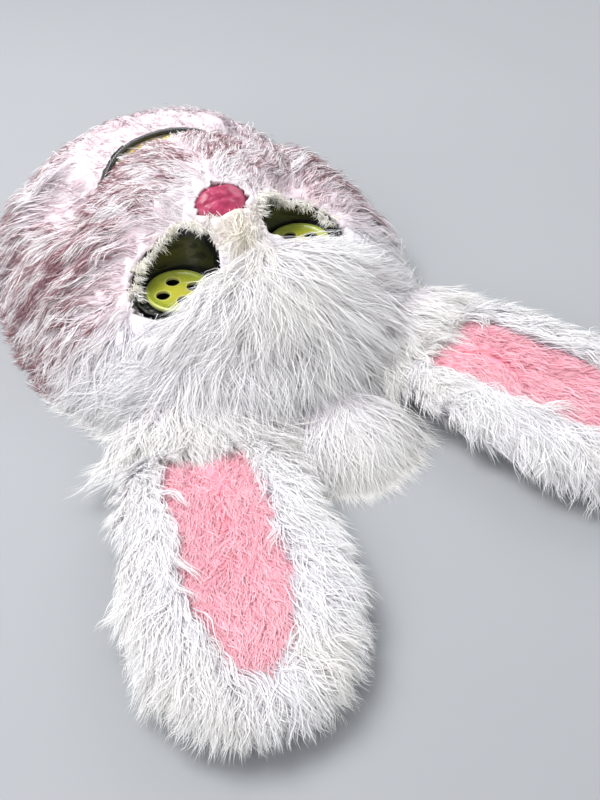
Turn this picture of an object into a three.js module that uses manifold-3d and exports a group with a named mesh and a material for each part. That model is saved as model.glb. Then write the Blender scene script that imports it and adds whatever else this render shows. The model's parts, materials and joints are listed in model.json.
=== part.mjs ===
// Plush rabbit mask with long ears: a thin moulded face shell covered with long-pile
// fur panels, with button eyes, a moulded nose, a toothy mouth and two bendable ears.
// It lies face up. +Z is out of the face, +Y is towards the chin, -X is its own left.
import * as THREE from "three";
import { mergeVertices } from "three/addons/utils/BufferGeometryUtils.js";
import Module from "manifold-3d";

const wasm = await Module();
wasm.setup();

// Driving dimensions, in millimetres and degrees.
const gap = 0.3; // between pieces that touch
const skinGap = 0.6; // under each fur panel

const faceHalfWidth = 120; // face centre to the side rim
const crownReach = 112; // face centre to the crown rim
const chinReach = 162; // face centre to the chin rim
const faceCentreY = 34;
const domeHeight = 76; // rim to the top of the plain dome
const shellWall = 2.4;
const flangeWidth = 7;
const flangeThickness = 2;

const muzzleRise = 30;
const muzzleCentreY = 96;
const muzzleHalfWidth = 67;
const muzzleHalfLength = 106;

const eyeSpacing = 98; // centre to centre
const buttonDiameter = 44.5;
const socketFloorZ = 57;
const socketFloorMargin = 3.75; // of the floor, past the button
const socketWallWidth = 10; // the wall's slope, seen from the front
const socketFloorRadius = buttonDiameter / 2 + socketFloorMargin;
const socketRadius = socketFloorRadius + socketWallWidth;
const eyeHoleSideMargin = 8.75; // opening in the fur, past the button
const eyeHoleEndMargin = 4.75;
const eyeHoleHalfWidth = buttonDiameter / 2 + eyeHoleSideMargin;
const eyeHoleHalfLength = buttonDiameter / 2 + eyeHoleEndMargin;
const socketThickness = 1.4;

const buttonThickness = 3.6;
const buttonRim = 1.6; // raised edge
const buttonHoleDiameter = 9.5;
const buttonHolePitch = 15.5;
const buttonTurn = 37; // of the four holes about the button's axis

const noseWidth = 38;
const noseLength = 24;
const noseHeight = 6;
const noseCentreY = 21;

const mouthHalfWidth = 54;
const mouthCornerY = 98;
const mouthCornerHeight = 4;
const lowerLipY = 124;
const upperLipY = 103;
const lipDiameter = 4.4;
const mouthPlateDepth = 5; // below the shell's face
const mouthPlateThickness = 1.6;
const toothCount = 9;
const toothRelief = 3;
const teethInset = 4; // from the slot's edge

const longPile = 27; // cheeks, forehead and chin
const shortPile = 11; // muzzle
const browSeamY = -2;
const innerEyeX = 15; // where the muzzle panel starts between the eyes
const chinSeamX = 92; // where the chin panel meets the rim

const earHingeX = 91;
const earHingeY = -98;
const earSplay = 19;
const earLength = 200;
const earHalfWidth = 67;
const earRootHalfWidth = 57;
const earRootSquareness = 0.35;
const earTipSquareness = 0.85;
const earHeight = 42; // over the table, pile included
const earSeamZ = 19;
const earEdgeThickness = 3; // of the front ring, above the seam
const earHingeZ = earSeamZ + earEdgeThickness;
const earBackThickness = 12;
const earFillingHeight = 9;
const pinkHalfWidth = 32;
const pinkLength = 160;
const wireDiameter = 2;
const wireInset = 17;
const tabThickness = 2;
const tabLength = 70; // trimmed where it meets the shell
const tabWidth = 46;
const notchClearance = 4;
const fringeHalfWidth = 31;
const fringeReach = 54; // past the crown panels
const fringeHeight = 46;
const fringeTipHeight = 12;
const fringeFoot = 2; // clear of the table

const strapWidth = 20;
const strapThickness = 1.2;
const strapDrop = 4; // from the face centre towards the crown
const strapY = faceCentreY - strapDrop;
const strapZ = 5.5;
const anchorWidth = 26;
const anchorHeight = 15;
const wallLean = 8; // how far the side wall leans in over an anchor's height
const anchorThickness = 2;
const rivetDiameter = 4;
const rivetHeadDiameter = 9;
const rivetHeadThickness = 1.2;
const rivetSeatLean = 1.2; // the wall leans in this much at the rivet head's foot
const sliderLength = 12;
const sliderRestX = 40;
const sliderWall = 1.6;
const padThickness = 8;
const padClearance = 1;
const browPadHalfWidth = 46;
const browPadHalfLength = 12;
const browPadGap = 2; // to the eye sockets
const chinPadInset = 33;
const cheekPadInset = 38;
const cheekPadY = 60;
const bindingThickness = 1.2;
const bindingHeight = 6;
const bindingLean = 4; // inwards over its height, as the wall leans

const radians = THREE.MathUtils.degToRad;
const mask = new THREE.Group();

// Materials.
function finish(color, roughness, metalness = 0) {
  return new THREE.MeshStandardMaterial({ color, roughness, metalness });
}
const whiteFur = finish("#e9e4e6", 0.95);
const stainedFur = finish("#d9b9bf", 0.95);
const pinkFur = finish("#f58fae", 0.95);
const shellPlastic = finish("#d8d3cb", 0.6);
const blackVinyl = finish("#0b0c0d", 0.2);
const limePlastic = finish("#a5a41f", 0.35);
const noseVinyl = finish("#b02a5c", 0.4);
const toothPlastic = finish("#b9a544", 0.4);
const foam = finish("#4a4a4c", 0.95);
const batting = finish("#f2f2ee", 1);
const elastic = finish("#1b1b1d", 0.9);
const steel = finish("#a9abad", 0.35, 1);
const tape = finish("#2a2a2c", 0.9);
const blackPlastic = finish("#141416", 0.4);

function addPiece(name, geometry, material, parent = mask) {
  const mesh = new THREE.Mesh(geometry, material);
  mesh.name = name;
  parent.add(mesh);
  return mesh;
}

// A closed solid from a list of points and triangles, with doubled points merged and its
// faces turned outwards.
function closedGeometry(points, triangles) {
  const raw = new THREE.BufferGeometry().setFromPoints(points);
  raw.setIndex(triangles);
  const merged = mergeVertices(raw, 1e-4);
  const index = merged.index.array;
  const kept = [];
  let volume = 0;
  const corner = (i) => new THREE.Vector3().fromBufferAttribute(merged.attributes.position, i);
  for (let i = 0; i < index.length; i += 3) {
    const [a, b, c] = index.slice(i, i + 3);
    if (a === b || b === c || c === a) continue;
    kept.push(a, b, c);
    volume += corner(a).dot(corner(b).cross(corner(c)));
  }
  merged.setIndex(volume < 0 ? kept.reverse() : kept);
  merged.computeVertexNormals();
  return merged;
}

// A curved slab: at(u, v, side) gives a point of its lower (side 0) or upper (side 1)
// face, for u and v from 0 to 1. A round slab closes on itself along u. Where v = 0 is
// one point, the slab has no inner wall.
function slab(uSteps, vSteps, at, { round = false, solidCentre = false } = {}) {
  const points = [];
  const triangles = [];
  const columns = round ? uSteps : uSteps + 1;
  const index = (i, j, side) => (side * columns + (i % columns)) * (vSteps + 1) + j;
  for (const side of [0, 1])
    for (let i = 0; i < columns; i++)
      for (let j = 0; j <= vSteps; j++) points.push(at(i / uSteps, j / vSteps, side));
  const quad = (a, b, c, d) => triangles.push(a, b, c, a, c, d);
  for (let i = 0; i < uSteps; i++) {
    for (let j = 0; j < vSteps; j++) {
      quad(index(i, j, 1), index(i, j + 1, 1), index(i + 1, j + 1, 1), index(i + 1, j, 1));
      quad(index(i, j, 0), index(i + 1, j, 0), index(i + 1, j + 1, 0), index(i, j + 1, 0));
    }
    quad(index(i, vSteps, 0), index(i + 1, vSteps, 0), index(i + 1, vSteps, 1), index(i, vSteps, 1));
    if (!solidCentre)
      quad(index(i, 0, 0), index(i, 0, 1), index(i + 1, 0, 1), index(i + 1, 0, 0));
  }
  if (!round)
    for (let j = 0; j < vSteps; j++) {
      quad(index(0, j, 0), index(0, j + 1, 0), index(0, j + 1, 1), index(0, j, 1));
      quad(index(uSteps, j, 0), index(uSteps, j, 1), index(uSteps, j + 1, 1), index(uSteps, j + 1, 0));
    }
  return closedGeometry(points, triangles);
}

// Boolean joins and cuts.
function toSolid(geometry) {
  const bare = new THREE.BufferGeometry();
  bare.setAttribute("position", geometry.getAttribute("position"));
  bare.setIndex(geometry.index);
  const merged = mergeVertices(bare, 1e-4);
  return new wasm.Manifold(
    new wasm.Mesh({
      numProp: 3,
      vertProperties: merged.attributes.position.array,
      triVerts: new Uint32Array(merged.index.array),
    }),
  );
}
function toGeometry(solid) {
  const { vertProperties, triVerts } = solid.getMesh();
  const geometry = new THREE.BufferGeometry();
  geometry.setAttribute("position", new THREE.BufferAttribute(vertProperties, 3));
  geometry.setIndex(new THREE.BufferAttribute(triVerts, 1));
  geometry.computeVertexNormals();
  return geometry;
}

// A vertical prism over a closed outline of Vector2 points.
function prism(outline, lowZ = -20, highZ = 260) {
  const depth = highZ - lowZ;
  const geometry = new THREE.ExtrudeGeometry(new THREE.Shape(outline), { depth, bevelEnabled: false });
  return toSolid(geometry.translate(0, 0, lowZ));
}
function ovalOutline(x, y, halfWidth, halfLength, sides = 20) {
  return new THREE.EllipseCurve(x, y, halfWidth, halfLength).getPoints(sides).slice(0, -1);
}
function circleOutline(x, y, radius, sides) {
  return ovalOutline(x, y, radius, radius, sides);
}

// The face surface.
const domeSwell = 3.2;
const domeFlatness = 0.72;
const outlineSquareness = 0.92; // 1 would make the outline two half ellipses
const squared = (value) => Math.sign(value) * Math.pow(Math.abs(value), outlineSquareness);
// How far out (x, y) is, from 0 at the face centre to 1 at the rim.
function faceReach(x, y) {
  const lengthwise = (y - faceCentreY) / (y > faceCentreY ? chinReach : crownReach);
  const power = 2 / outlineSquareness;
  return (Math.abs(x / faceHalfWidth) ** power + Math.abs(lengthwise) ** power) ** (1 / power);
}
function smooth(value) {
  const s = THREE.MathUtils.clamp(value, 0, 1);
  return s * s * (3 - 2 * s);
}
function socketShare(x, y) {
  const distance = Math.hypot(Math.abs(x) - eyeSpacing / 2, y);
  return smooth((socketRadius - distance) / (socketRadius - socketFloorRadius));
}
function muzzleShape(x, y) {
  const across = x / muzzleHalfWidth;
  const along = (y - muzzleCentreY) / muzzleHalfLength;
  const distance = Math.min(1, across * across + along * along);
  return muzzleRise * Math.pow(1 - distance * distance, 1.3);
}
// Height of the shell's outer face over (x, y), raised by lift, without its eye sockets.
function domeZ(x, y, lift = 0) {
  const fall = Math.max(0, 1 - faceReach(x, y) ** domeSwell);
  return flangeThickness / 2 + (domeHeight + lift) * fall ** domeFlatness + muzzleShape(x, y);
}
function faceZ(x, y, lift = 0) {
  return THREE.MathUtils.lerp(domeZ(x, y, lift), socketFloorZ + lift, socketShare(x, y));
}
// A point of the shell's face: turn from 0 to 1 round the face, out from 0 to 1.
function facePoint(turn, out, lift) {
  const angle = turn * 2 * Math.PI;
  const share = Math.sin((out * Math.PI) / 2);
  const reach = Math.sin(angle) > 0 ? chinReach : crownReach;
  const across = squared(Math.cos(angle)) * share;
  const along = squared(Math.sin(angle)) * share;
  const x = faceHalfWidth * across;
  const y = faceCentreY + reach * along;
  return new THREE.Vector3(x + lift * across, y + lift * along, faceZ(x, y, lift));
}
const faceTurns = 36;
const faceRings = 9;
function faceSlab(lower, upper, lastRing = 1) {
  const at = (u, v, side) => {
    const out = Math.min(v, lastRing);
    const bare = facePoint(u, out, 0);
    return facePoint(u, out, side ? upper(bare.x, bare.y) : lower(bare.x, bare.y));
  };
  return slab(faceTurns, faceRings, at, { round: true, solidCentre: true });
}

// Outlines of the openings.
const point = (x, y) => new THREE.Vector2(x, y);
const eyeSides = [-1, 1];
const eyeX = eyeSpacing / 2;
const sideName = (side) => (side < 0 ? "left" : "right");
// The slot's upper and lower edges at x, drawn in by inset.
function mouthEdges(x, inset) {
  const bow = 1 - (x / (mouthHalfWidth - 1.5 * inset)) ** 2;
  const corner = mouthCornerHeight / 2;
  return [
    mouthCornerY - corner + inset + (upperLipY - mouthCornerY + corner) * bow,
    mouthCornerY + corner - inset + (lowerLipY - mouthCornerY - corner) * bow,
  ];
}
function mouthOutline(inset) {
  const half = mouthHalfWidth - 1.5 * inset;
  const steps = 14;
  const near = [];
  const back = [];
  for (let i = 0; i <= steps; i++) {
    const x = THREE.MathUtils.lerp(-half, half, i / steps);
    const [low, high] = mouthEdges(x, inset);
    near.push(point(x, low));
    back.unshift(point(x, high));
  }
  return [...near, ...back];
}
function holesUnderButton(side, radius, turns) {
  const holes = [];
  for (let i = 0; i < 4; i++) {
    const angle = radians(buttonTurn * -side + 45 + 90 * i);
    const reach = buttonHolePitch / Math.SQRT2;
    const x = side * eyeX + reach * Math.cos(angle);
    holes.push(prism(circleOutline(x, reach * Math.sin(angle), radius, turns)));
  }
  return holes;
}

// Face shell: thin moulded dome with an outer flange, two eye openings and a mouth slot.
const shellBlank = toSolid(faceSlab(() => -shellWall, () => 0));
const flangeRing = slab(
  faceTurns,
  1,
  (u, v, side) => {
    const p = facePoint(u, 1, v ? flangeWidth : -shellWall / 2);
    return p.setZ(side ? flangeThickness : 0);
  },
  { round: true },
);
let faceShell = shellBlank.add(toSolid(flangeRing));
for (const side of eyeSides) {
  const opening = ovalOutline(side * eyeX, 0, eyeHoleHalfWidth + gap, eyeHoleHalfLength + gap);
  faceShell = faceShell.subtract(prism(opening));
}
faceShell = faceShell.subtract(prism(mouthOutline(0)));

// Rivets hold the strap anchors through the side walls.
const anchorX = faceHalfWidth - shellWall - wallLean; // outer face of an anchor
const anchorLowZ = flangeThickness + 1;
const rivetZ = anchorLowZ + anchorHeight - rivetHeadDiameter / 2 - 2;
function rodAlongX(radius, fromX, toX, y, z, sides = 14) {
  const rod = new THREE.CylinderGeometry(radius, radius, toX - fromX, sides);
  return toSolid(rod.rotateZ(Math.PI / 2).translate((fromX + toX) / 2, y, z));
}
faceShell = faceShell.subtract(rodAlongX(rivetDiameter / 2 + gap, -200, 200, strapY, rivetZ));
addPiece("face_shell", toGeometry(faceShell), shellPlastic);

// Fur panels: one thick skin over the shell, opened at the eyes, nose, mouth and ears,
// then divided along the seams.
function pileHeight(x, y) {
  const across = x / (muzzleHalfWidth * 0.9);
  const along = (y - muzzleCentreY) / (muzzleHalfLength * 0.85);
  return THREE.MathUtils.lerp(shortPile, longPile, smooth(across * across + along * along - 0.35));
}
const backingLift = rivetHeadThickness + 2 * gap + skinGap;
let furSkin = toSolid(faceSlab(() => backingLift, (x, y) => backingLift + pileHeight(x, y), 0.97));
const pocketX = faceHalfWidth + rivetHeadThickness + 2 * gap;
furSkin = furSkin.subtract(rodAlongX(rivetHeadDiameter / 2 + gap, -pocketX, pocketX, strapY, rivetZ));
const noseOutline = ovalOutline(0, noseCentreY, noseWidth / 2 + 2 * gap, noseLength / 2 + 2 * gap);
furSkin = furSkin.subtract(prism(noseOutline));
furSkin = furSkin.subtract(prism(mouthOutline(-lipDiameter * 0.9 - gap)));
for (const side of eyeSides)
  furSkin = furSkin.subtract(prism(ovalOutline(side * eyeX, 0, eyeHoleHalfWidth, eyeHoleHalfLength)));

// The ears' roots turn in notches in the crown panels, deep enough for an ear that stands up.
const notchDepth = earHeight - earHingeZ + notchClearance;
const splay = radians(earSplay);
function earPlace(side) {
  const group = new THREE.Group();
  group.position.set(side * earHingeX, earHingeY, 0);
  group.rotation.z = side * splay;
  return group;
}
function notch(side) {
  const half = earRootHalfWidth + notchClearance;
  const reach = 2 * earRootHalfWidth;
  const box = new THREE.BoxGeometry(2 * half, reach, 300);
  box.translate(0, notchDepth - reach / 2, 0);
  const place = earPlace(side);
  place.updateMatrix();
  return toSolid(box.applyMatrix4(place.matrix));
}
function tabBlock(side, clearance) {
  const width = tabWidth + 2 * clearance;
  const block = new THREE.BoxGeometry(width, tabLength, tabThickness + 2 * clearance);
  block.translate(0, tabLength / 2 + gap, earSeamZ);
  const place = earPlace(side);
  place.updateMatrix();
  return toSolid(block.applyMatrix4(place.matrix));
}
for (const side of eyeSides) furSkin = furSkin.subtract(notch(side)).subtract(tabBlock(side, gap * 2));

const far = 260;
const seamLines = [
  [point(-far, browSeamY), point(far, browSeamY)],
  [point(0, browSeamY), point(0, -far)],
];
for (const side of eyeSides) {
  seamLines.push([point(side * innerEyeX, browSeamY), point(side * mouthHalfWidth, mouthCornerY)]);
  seamLines.push([point(side * mouthHalfWidth, mouthCornerY), point(side * chinSeamX, far)]);
}
for (const [from, to] of seamLines) {
  const along = to.clone().sub(from).normalize().multiplyScalar(gap);
  const across = point(-along.y, along.x).multiplyScalar(0.5);
  const [a, b] = [from.clone().sub(along), to.clone().add(along)];
  furSkin = furSkin.subtract(
    prism([a.clone().sub(across), b.clone().sub(across), b.clone().add(across), a.clone().add(across)]),
  );
}
function furPanel(name, outline, material) {
  const area = THREE.ShapeUtils.area(outline);
  addPiece(name, toGeometry(furSkin.intersect(prism(area < 0 ? outline.reverse() : outline))), material);
}
const mouthMiddleY = (lowerLipY + upperLipY) / 2;
const cornerPoints = [-1, 1].map((side) => point(side * mouthHalfWidth, mouthCornerY));
furPanel(
  "muzzle_fur",
  [point(-innerEyeX, browSeamY), point(innerEyeX, browSeamY), cornerPoints[1], point(0, mouthMiddleY), cornerPoints[0]],
  stainedFur,
);
furPanel(
  "chin_fur",
  [cornerPoints[0], point(0, mouthMiddleY), cornerPoints[1], point(chinSeamX, far), point(-chinSeamX, far)],
  stainedFur,
);
for (const side of eyeSides) {
  const eyeStart = point(side * innerEyeX, browSeamY);
  const corner = point(side * mouthHalfWidth, mouthCornerY);
  const rim = [point(side * chinSeamX, far), point(side * far, far), point(side * far, browSeamY)];
  furPanel(`cheek_fur_${sideName(side)}`, [eyeStart, corner, ...rim], stainedFur);
  furPanel(
    `forehead_fur_${sideName(side)}`,
    [point(0, browSeamY), point(side * far, browSeamY), point(side * far, -far), point(0, -far)],
    whiteFur,
  );
}

// The crown fringe hangs from the crown rim between the ears.
const fringeStartY = faceCentreY - crownReach - longPile - backingLift - gap * 2;
addPiece(
  "crown_fringe_fur",
  slab(10, 4, (u, v, side) => {
    const x = THREE.MathUtils.lerp(-fringeHalfWidth, fringeHalfWidth, u);
    const bow = 1 - 0.35 * (x / fringeHalfWidth) ** 2;
    const y = fringeStartY - v * fringeReach * bow;
    return new THREE.Vector3(x, y, side ? fringeHeight - (fringeHeight - fringeTipHeight) * v * v : fringeFoot);
  }),
  whiteFur,
);

// Eyes: a glossy black pan fills each eye opening, with a four-hole button on its flat
// floor. The wearer looks out through the holes of both.
const buttonProfile = [
  [0, 0],
  [buttonDiameter / 2 - 1, 0],
  [buttonDiameter / 2, 1],
  [buttonDiameter / 2, buttonThickness - 0.8],
  [buttonDiameter / 2 - 0.8, buttonThickness],
  [buttonDiameter / 2 - buttonRim * 1.5, buttonThickness],
  [buttonDiameter / 2 - buttonRim * 3, buttonThickness - buttonRim],
  [0, buttonThickness - buttonRim],
].map(([x, y]) => point(x, y));
for (const side of eyeSides) {
  const pan = (u, v, face) => {
    const angle = u * 2 * Math.PI;
    const x = side * eyeX + (eyeHoleHalfWidth - gap) * v * Math.cos(angle);
    const y = (eyeHoleHalfLength - gap) * v * Math.sin(angle);
    return new THREE.Vector3(x, y, faceZ(x, y) - (face ? 0 : socketThickness));
  };
  let socket = toSolid(slab(24, 6, pan, { round: true, solidCentre: true }));
  const turned = new THREE.LatheGeometry(buttonProfile, 24).rotateX(Math.PI / 2);
  let button = toSolid(turned.translate(side * eyeX, 0, socketFloorZ + gap));
  for (const hole of holesUnderButton(side, buttonHoleDiameter / 2, 12)) {
    socket = socket.subtract(hole);
    button = button.subtract(hole);
  }
  addPiece(`eye_socket_${sideName(side)}`, toGeometry(socket), blackVinyl);
  addPiece(`button_eye_${sideName(side)}`, toGeometry(button), limePlastic);
}

// Nose: a solid moulded cap seated on the muzzle.
addPiece(
  "nose",
  slab(
    20,
    4,
    (u, v, side) => {
      const angle = u * 2 * Math.PI;
      const x = (noseWidth / 2) * v * Math.cos(angle);
      const y = noseCentreY + (noseLength / 2) * v * Math.sin(angle);
      return new THREE.Vector3(x, y, domeZ(x, y) + (side ? noseHeight * Math.sqrt(1.15 - v * v) : 3 * gap));
    },
    { round: true, solidCentre: true },
  ),
  noseVinyl,
);

// Mouth: a curved plate fills the slot and carries the teeth, and a lip bead edges it.
function mouthSlab(inset, lower, upper, columns = 20, rows = 2) {
  const half = mouthHalfWidth - 1.5 * inset;
  return slab(columns, rows, (u, v, side) => {
    const x = THREE.MathUtils.lerp(-half, half, u);
    const y = THREE.MathUtils.lerp(...mouthEdges(x, inset), v);
    return new THREE.Vector3(x, y, faceZ(x, y) + (side ? upper(u, v) : lower(u, v)));
  });
}
const plateTop = -mouthPlateDepth;
addPiece("mouth_plate", mouthSlab(gap, () => plateTop - mouthPlateThickness, () => plateTop), blackVinyl);
const toothWave = (u) => Math.abs(Math.sin(u * toothCount * Math.PI));
addPiece(
  "teeth",
  mouthSlab(teethInset, () => plateTop + gap, (u) => plateTop + gap + 1 + toothRelief * toothWave(u), toothCount * 3),
  toothPlastic,
);
const lipPoints = [];
for (let i = 0; i <= 16; i++) {
  const x = (mouthHalfWidth - 1) * (i / 8 - 1);
  const y = mouthEdges(x, 0)[1];
  lipPoints.push(new THREE.Vector3(x, y, faceZ(x, y) + lipDiameter / 2 + gap));
}
addPiece(
  "lower_lip_bead",
  new THREE.ExtrudeGeometry(new THREE.Shape(circleOutline(0, 0, lipDiameter / 2, 7)), {
    extrudePath: new THREE.CatmullRomCurve3(lipPoints),
    steps: 28,
    bevelEnabled: false,
  }),
  blackVinyl,
);

// Ears: back fur, stiffening wire, filling, white front ring and pink inner panel.
// In an ear's own frame, x is across, y is minus the way to the tip, z is up.
function earHalfAt(along) {
  return THREE.MathUtils.lerp(earRootHalfWidth, earHalfWidth, smooth((2 * along) / earLength));
}
const earMiddle = earLength * 0.43;
const middlePoint = point(0, -earMiddle);
function earOutline(turn) {
  const angle = turn * 2 * Math.PI;
  const along = (earLength / 2) * (1 - Math.sin(angle));
  const side = Math.cos(angle);
  const squareness = Math.sin(angle) > 0 ? earRootSquareness : earTipSquareness;
  return point(Math.sign(side) * earHalfAt(along) * Math.abs(side) ** squareness, -along);
}
function pinkShare(turn) {
  const angle = turn * 2 * Math.PI;
  const end = Math.sin(angle) > 0 ? earMiddle : earLength - earMiddle;
  const across = (Math.cos(angle) * earHalfWidth) / pinkHalfWidth;
  return 1 / Math.hypot(across, (Math.sin(angle) * end) / (pinkLength / 2));
}
const backLower = (share) => (earSeamZ - 2) * share ** 6;
const backUpper = (share) => THREE.MathUtils.lerp(earBackThickness, earSeamZ - gap / 2, share ** 3);
const fillingShare = 0.8;
const fillingLower = (share) => backUpper(share) + wireDiameter + 3 * gap;
const fillingUpper = (share) => fillingLower(share) + 1 + earFillingHeight * (1 - (share / fillingShare) ** 2);
const frontLower = (share) => fillingUpper(0) + gap - (fillingUpper(0) - earSeamZ) * share ** 2;
const frontUpper = (share) => earHingeZ + (earHeight - earHingeZ) * Math.sqrt(1 - share ** 4);
const pinkDrop = 4;

function earLayer(from, to, lower, upper, rings = 4) {
  const at = (u, v, side) => {
    const share = THREE.MathUtils.lerp(from(u), to(u), v);
    const p = middlePoint.clone().lerp(earOutline(u), share);
    return new THREE.Vector3(p.x, p.y, side ? upper(share) : lower(share));
  };
  return slab(24, rings, at, { round: true, solidCentre: from(0) === 0 });
}
const none = () => 0;
const seamShare = gap / earHalfWidth;
const shellBody = toSolid(faceSlab(() => -40, () => gap));
for (const side of eyeSides) {
  const name = sideName(side);
  const ear = earPlace(side);
  mask.add(ear);
  addPiece(`ear_back_fur_${name}`, earLayer(none, () => 1, backLower, backUpper), whiteFur, ear);
  addPiece(`ear_filling_${name}`, earLayer(none, () => fillingShare, fillingLower, fillingUpper, 3), batting, ear);
  addPiece(`ear_front_fur_${name}`, earLayer(pinkShare, () => 1, frontLower, frontUpper), whiteFur, ear);
  const pinkTop = (share) => frontUpper(share) - pinkDrop;
  addPiece(`ear_pink_panel_${name}`, earLayer(none, (u) => pinkShare(u) - seamShare, frontLower, pinkTop, 3), pinkFur, ear);

  const wirePoints = [];
  for (let i = 0; i <= 20; i++) {
    const share = 1 - wireInset / earHalfWidth;
    const p = middlePoint.clone().lerp(earOutline(0.3 + (0.9 * i) / 20), share * fillingShare);
    wirePoints.push(new THREE.Vector3(p.x, p.y, backUpper(share * fillingShare) + wireDiameter / 2 + gap));
  }
  const wire = new THREE.ExtrudeGeometry(new THREE.Shape(circleOutline(0, 0, wireDiameter / 2, 6)), {
    extrudePath: new THREE.CatmullRomCurve3(wirePoints),
    steps: 30,
    bevelEnabled: false,
  });
  addPiece(`ear_wire_${name}`, wire, steel, ear);
}
// Root tabs: webbing from the shell's crown to each ear, which folds at its end.
for (const side of eyeSides)
  addPiece(`ear_root_tab_${sideName(side)}`, toGeometry(tabBlock(side, 0).subtract(shellBody)), elastic);

// Elastic strap with its anchors, rivets and slider.
const strapEnd = anchorX - anchorThickness - gap;
addPiece(
  "elastic_strap",
  new THREE.BoxGeometry(2 * strapEnd, strapWidth, strapThickness).translate(0, strapY, strapZ),
  elastic,
);
for (const side of eyeSides) {
  const plate = new THREE.BoxGeometry(anchorThickness, anchorWidth, anchorHeight);
  plate.translate(side * (anchorX - anchorThickness / 2), strapY, anchorLowZ + anchorHeight / 2);
  const hole = rodAlongX(rivetDiameter / 2 + gap, -200, 200, strapY, rivetZ);
  addPiece(`strap_anchor_${sideName(side)}`, toGeometry(toSolid(plate).subtract(hole)), blackPlastic);

  const innerX = anchorX - anchorThickness - gap - rivetHeadThickness;
  const outerX = faceHalfWidth - rivetSeatLean;
  const head = (fromX, toX) => rodAlongX(rivetHeadDiameter / 2, fromX, toX, strapY, rivetZ);
  let rivet = rodAlongX(rivetDiameter / 2, innerX, outerX + rivetHeadThickness, strapY, rivetZ);
  rivet = rivet.add(head(innerX, innerX + rivetHeadThickness)).add(head(outerX, outerX + rivetHeadThickness));
  addPiece(`strap_rivet_${sideName(side)}`, toGeometry(side < 0 ? rivet.mirror([1, 0, 0]) : rivet), steel);
}
const sliderHalf = strapWidth / 2 + sliderWall + gap;
const sliderBlock = new THREE.BoxGeometry(sliderLength, 2 * sliderHalf, strapThickness + 2 * (sliderWall + gap));
const sliderSlot = new THREE.BoxGeometry(sliderLength + 2, strapWidth + 2 * gap, strapThickness + 2 * gap);
addPiece(
  "strap_slider",
  toGeometry(toSolid(sliderBlock).subtract(toSolid(sliderSlot)).translate([sliderRestX, strapY, strapZ])),
  blackPlastic,
);

// Foam pads inside the shell and the soft tape round its inner edge.
function underShell(x, y) {
  const spread = 1 + (2.5 * shellWall) / faceHalfWidth;
  const further = faceZ(x * spread, faceCentreY + (y - faceCentreY) * spread);
  return Math.min(faceZ(x, y), further) - shellWall - padClearance;
}
function foamPad(name, centre, halfX, halfY) {
  const at = (u, v, side) => {
    const angle = u * 2 * Math.PI;
    const x = centre.x + halfX * v * Math.cos(angle);
    const y = centre.y + halfY * v * Math.sin(angle);
    const top = underShell(x, y);
    return new THREE.Vector3(x, y, side ? top : top - padThickness * Math.sqrt(1.05 - v * v) - 1);
  };
  addPiece(name, slab(18, 3, at, { round: true, solidCentre: true }), foam);
}
const browPadY = -(socketRadius + browPadGap + browPadHalfLength);
foamPad("brow_pad", point(0, browPadY), browPadHalfWidth, browPadHalfLength);
foamPad("chin_pad", point(0, faceCentreY + chinReach - chinPadInset), 28, 9);
for (const side of eyeSides)
  foamPad(`cheek_pad_${sideName(side)}`, point(side * (faceHalfWidth - cheekPadInset), cheekPadY), 12, 28);
const bindingAt = (u, v, side) => {
  const inner = shellWall + gap + (side ? 0 : bindingThickness) + bindingLean * v;
  const p = facePoint(u, 1, -inner);
  return p.setZ(flangeThickness / 2 + v * bindingHeight + 1);
};
addPiece("edge_binding", slab(faceTurns, 1, bindingAt, { round: true }), tape);

// The origin sits under the middle of the whole mask.
const bounds = new THREE.Box3().setFromObject(mask, true);
mask.position.y = -(bounds.min.y + bounds.max.y) / 2;

export default mask;
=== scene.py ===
# Plush rabbit mask with long ears, lying face up. +Z is out of the face, +Y is towards the
# chin, and -X is the mask's own left. Lengths are in metres.
import json
from math import cos, pi, radians, sin, sqrt

import bpy
import numpy as np
from mathutils import Matrix, Vector

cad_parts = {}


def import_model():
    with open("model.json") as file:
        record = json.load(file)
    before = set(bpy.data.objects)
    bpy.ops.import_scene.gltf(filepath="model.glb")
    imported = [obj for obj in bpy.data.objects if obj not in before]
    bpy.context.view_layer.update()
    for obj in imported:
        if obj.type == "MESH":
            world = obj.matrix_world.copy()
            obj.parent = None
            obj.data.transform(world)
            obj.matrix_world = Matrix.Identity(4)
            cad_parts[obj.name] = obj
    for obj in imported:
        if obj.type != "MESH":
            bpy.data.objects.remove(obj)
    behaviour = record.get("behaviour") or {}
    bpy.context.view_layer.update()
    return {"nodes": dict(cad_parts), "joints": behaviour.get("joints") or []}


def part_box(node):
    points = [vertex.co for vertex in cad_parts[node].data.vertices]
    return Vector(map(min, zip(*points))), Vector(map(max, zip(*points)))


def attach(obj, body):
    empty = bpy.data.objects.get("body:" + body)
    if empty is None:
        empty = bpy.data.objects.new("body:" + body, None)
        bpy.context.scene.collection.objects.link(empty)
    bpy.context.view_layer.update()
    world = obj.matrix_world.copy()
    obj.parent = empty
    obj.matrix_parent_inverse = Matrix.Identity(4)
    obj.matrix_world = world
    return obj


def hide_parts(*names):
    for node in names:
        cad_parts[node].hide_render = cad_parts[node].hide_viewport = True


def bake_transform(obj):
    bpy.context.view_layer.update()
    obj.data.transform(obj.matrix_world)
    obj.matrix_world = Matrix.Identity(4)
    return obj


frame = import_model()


# Camera: above the left ear and the crown, looking down over the face to the chin.
def added(name, data):
    """A new object in the scene."""
    made = bpy.data.objects.new(name, data)
    bpy.context.scene.collection.objects.link(made)
    return made


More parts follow.
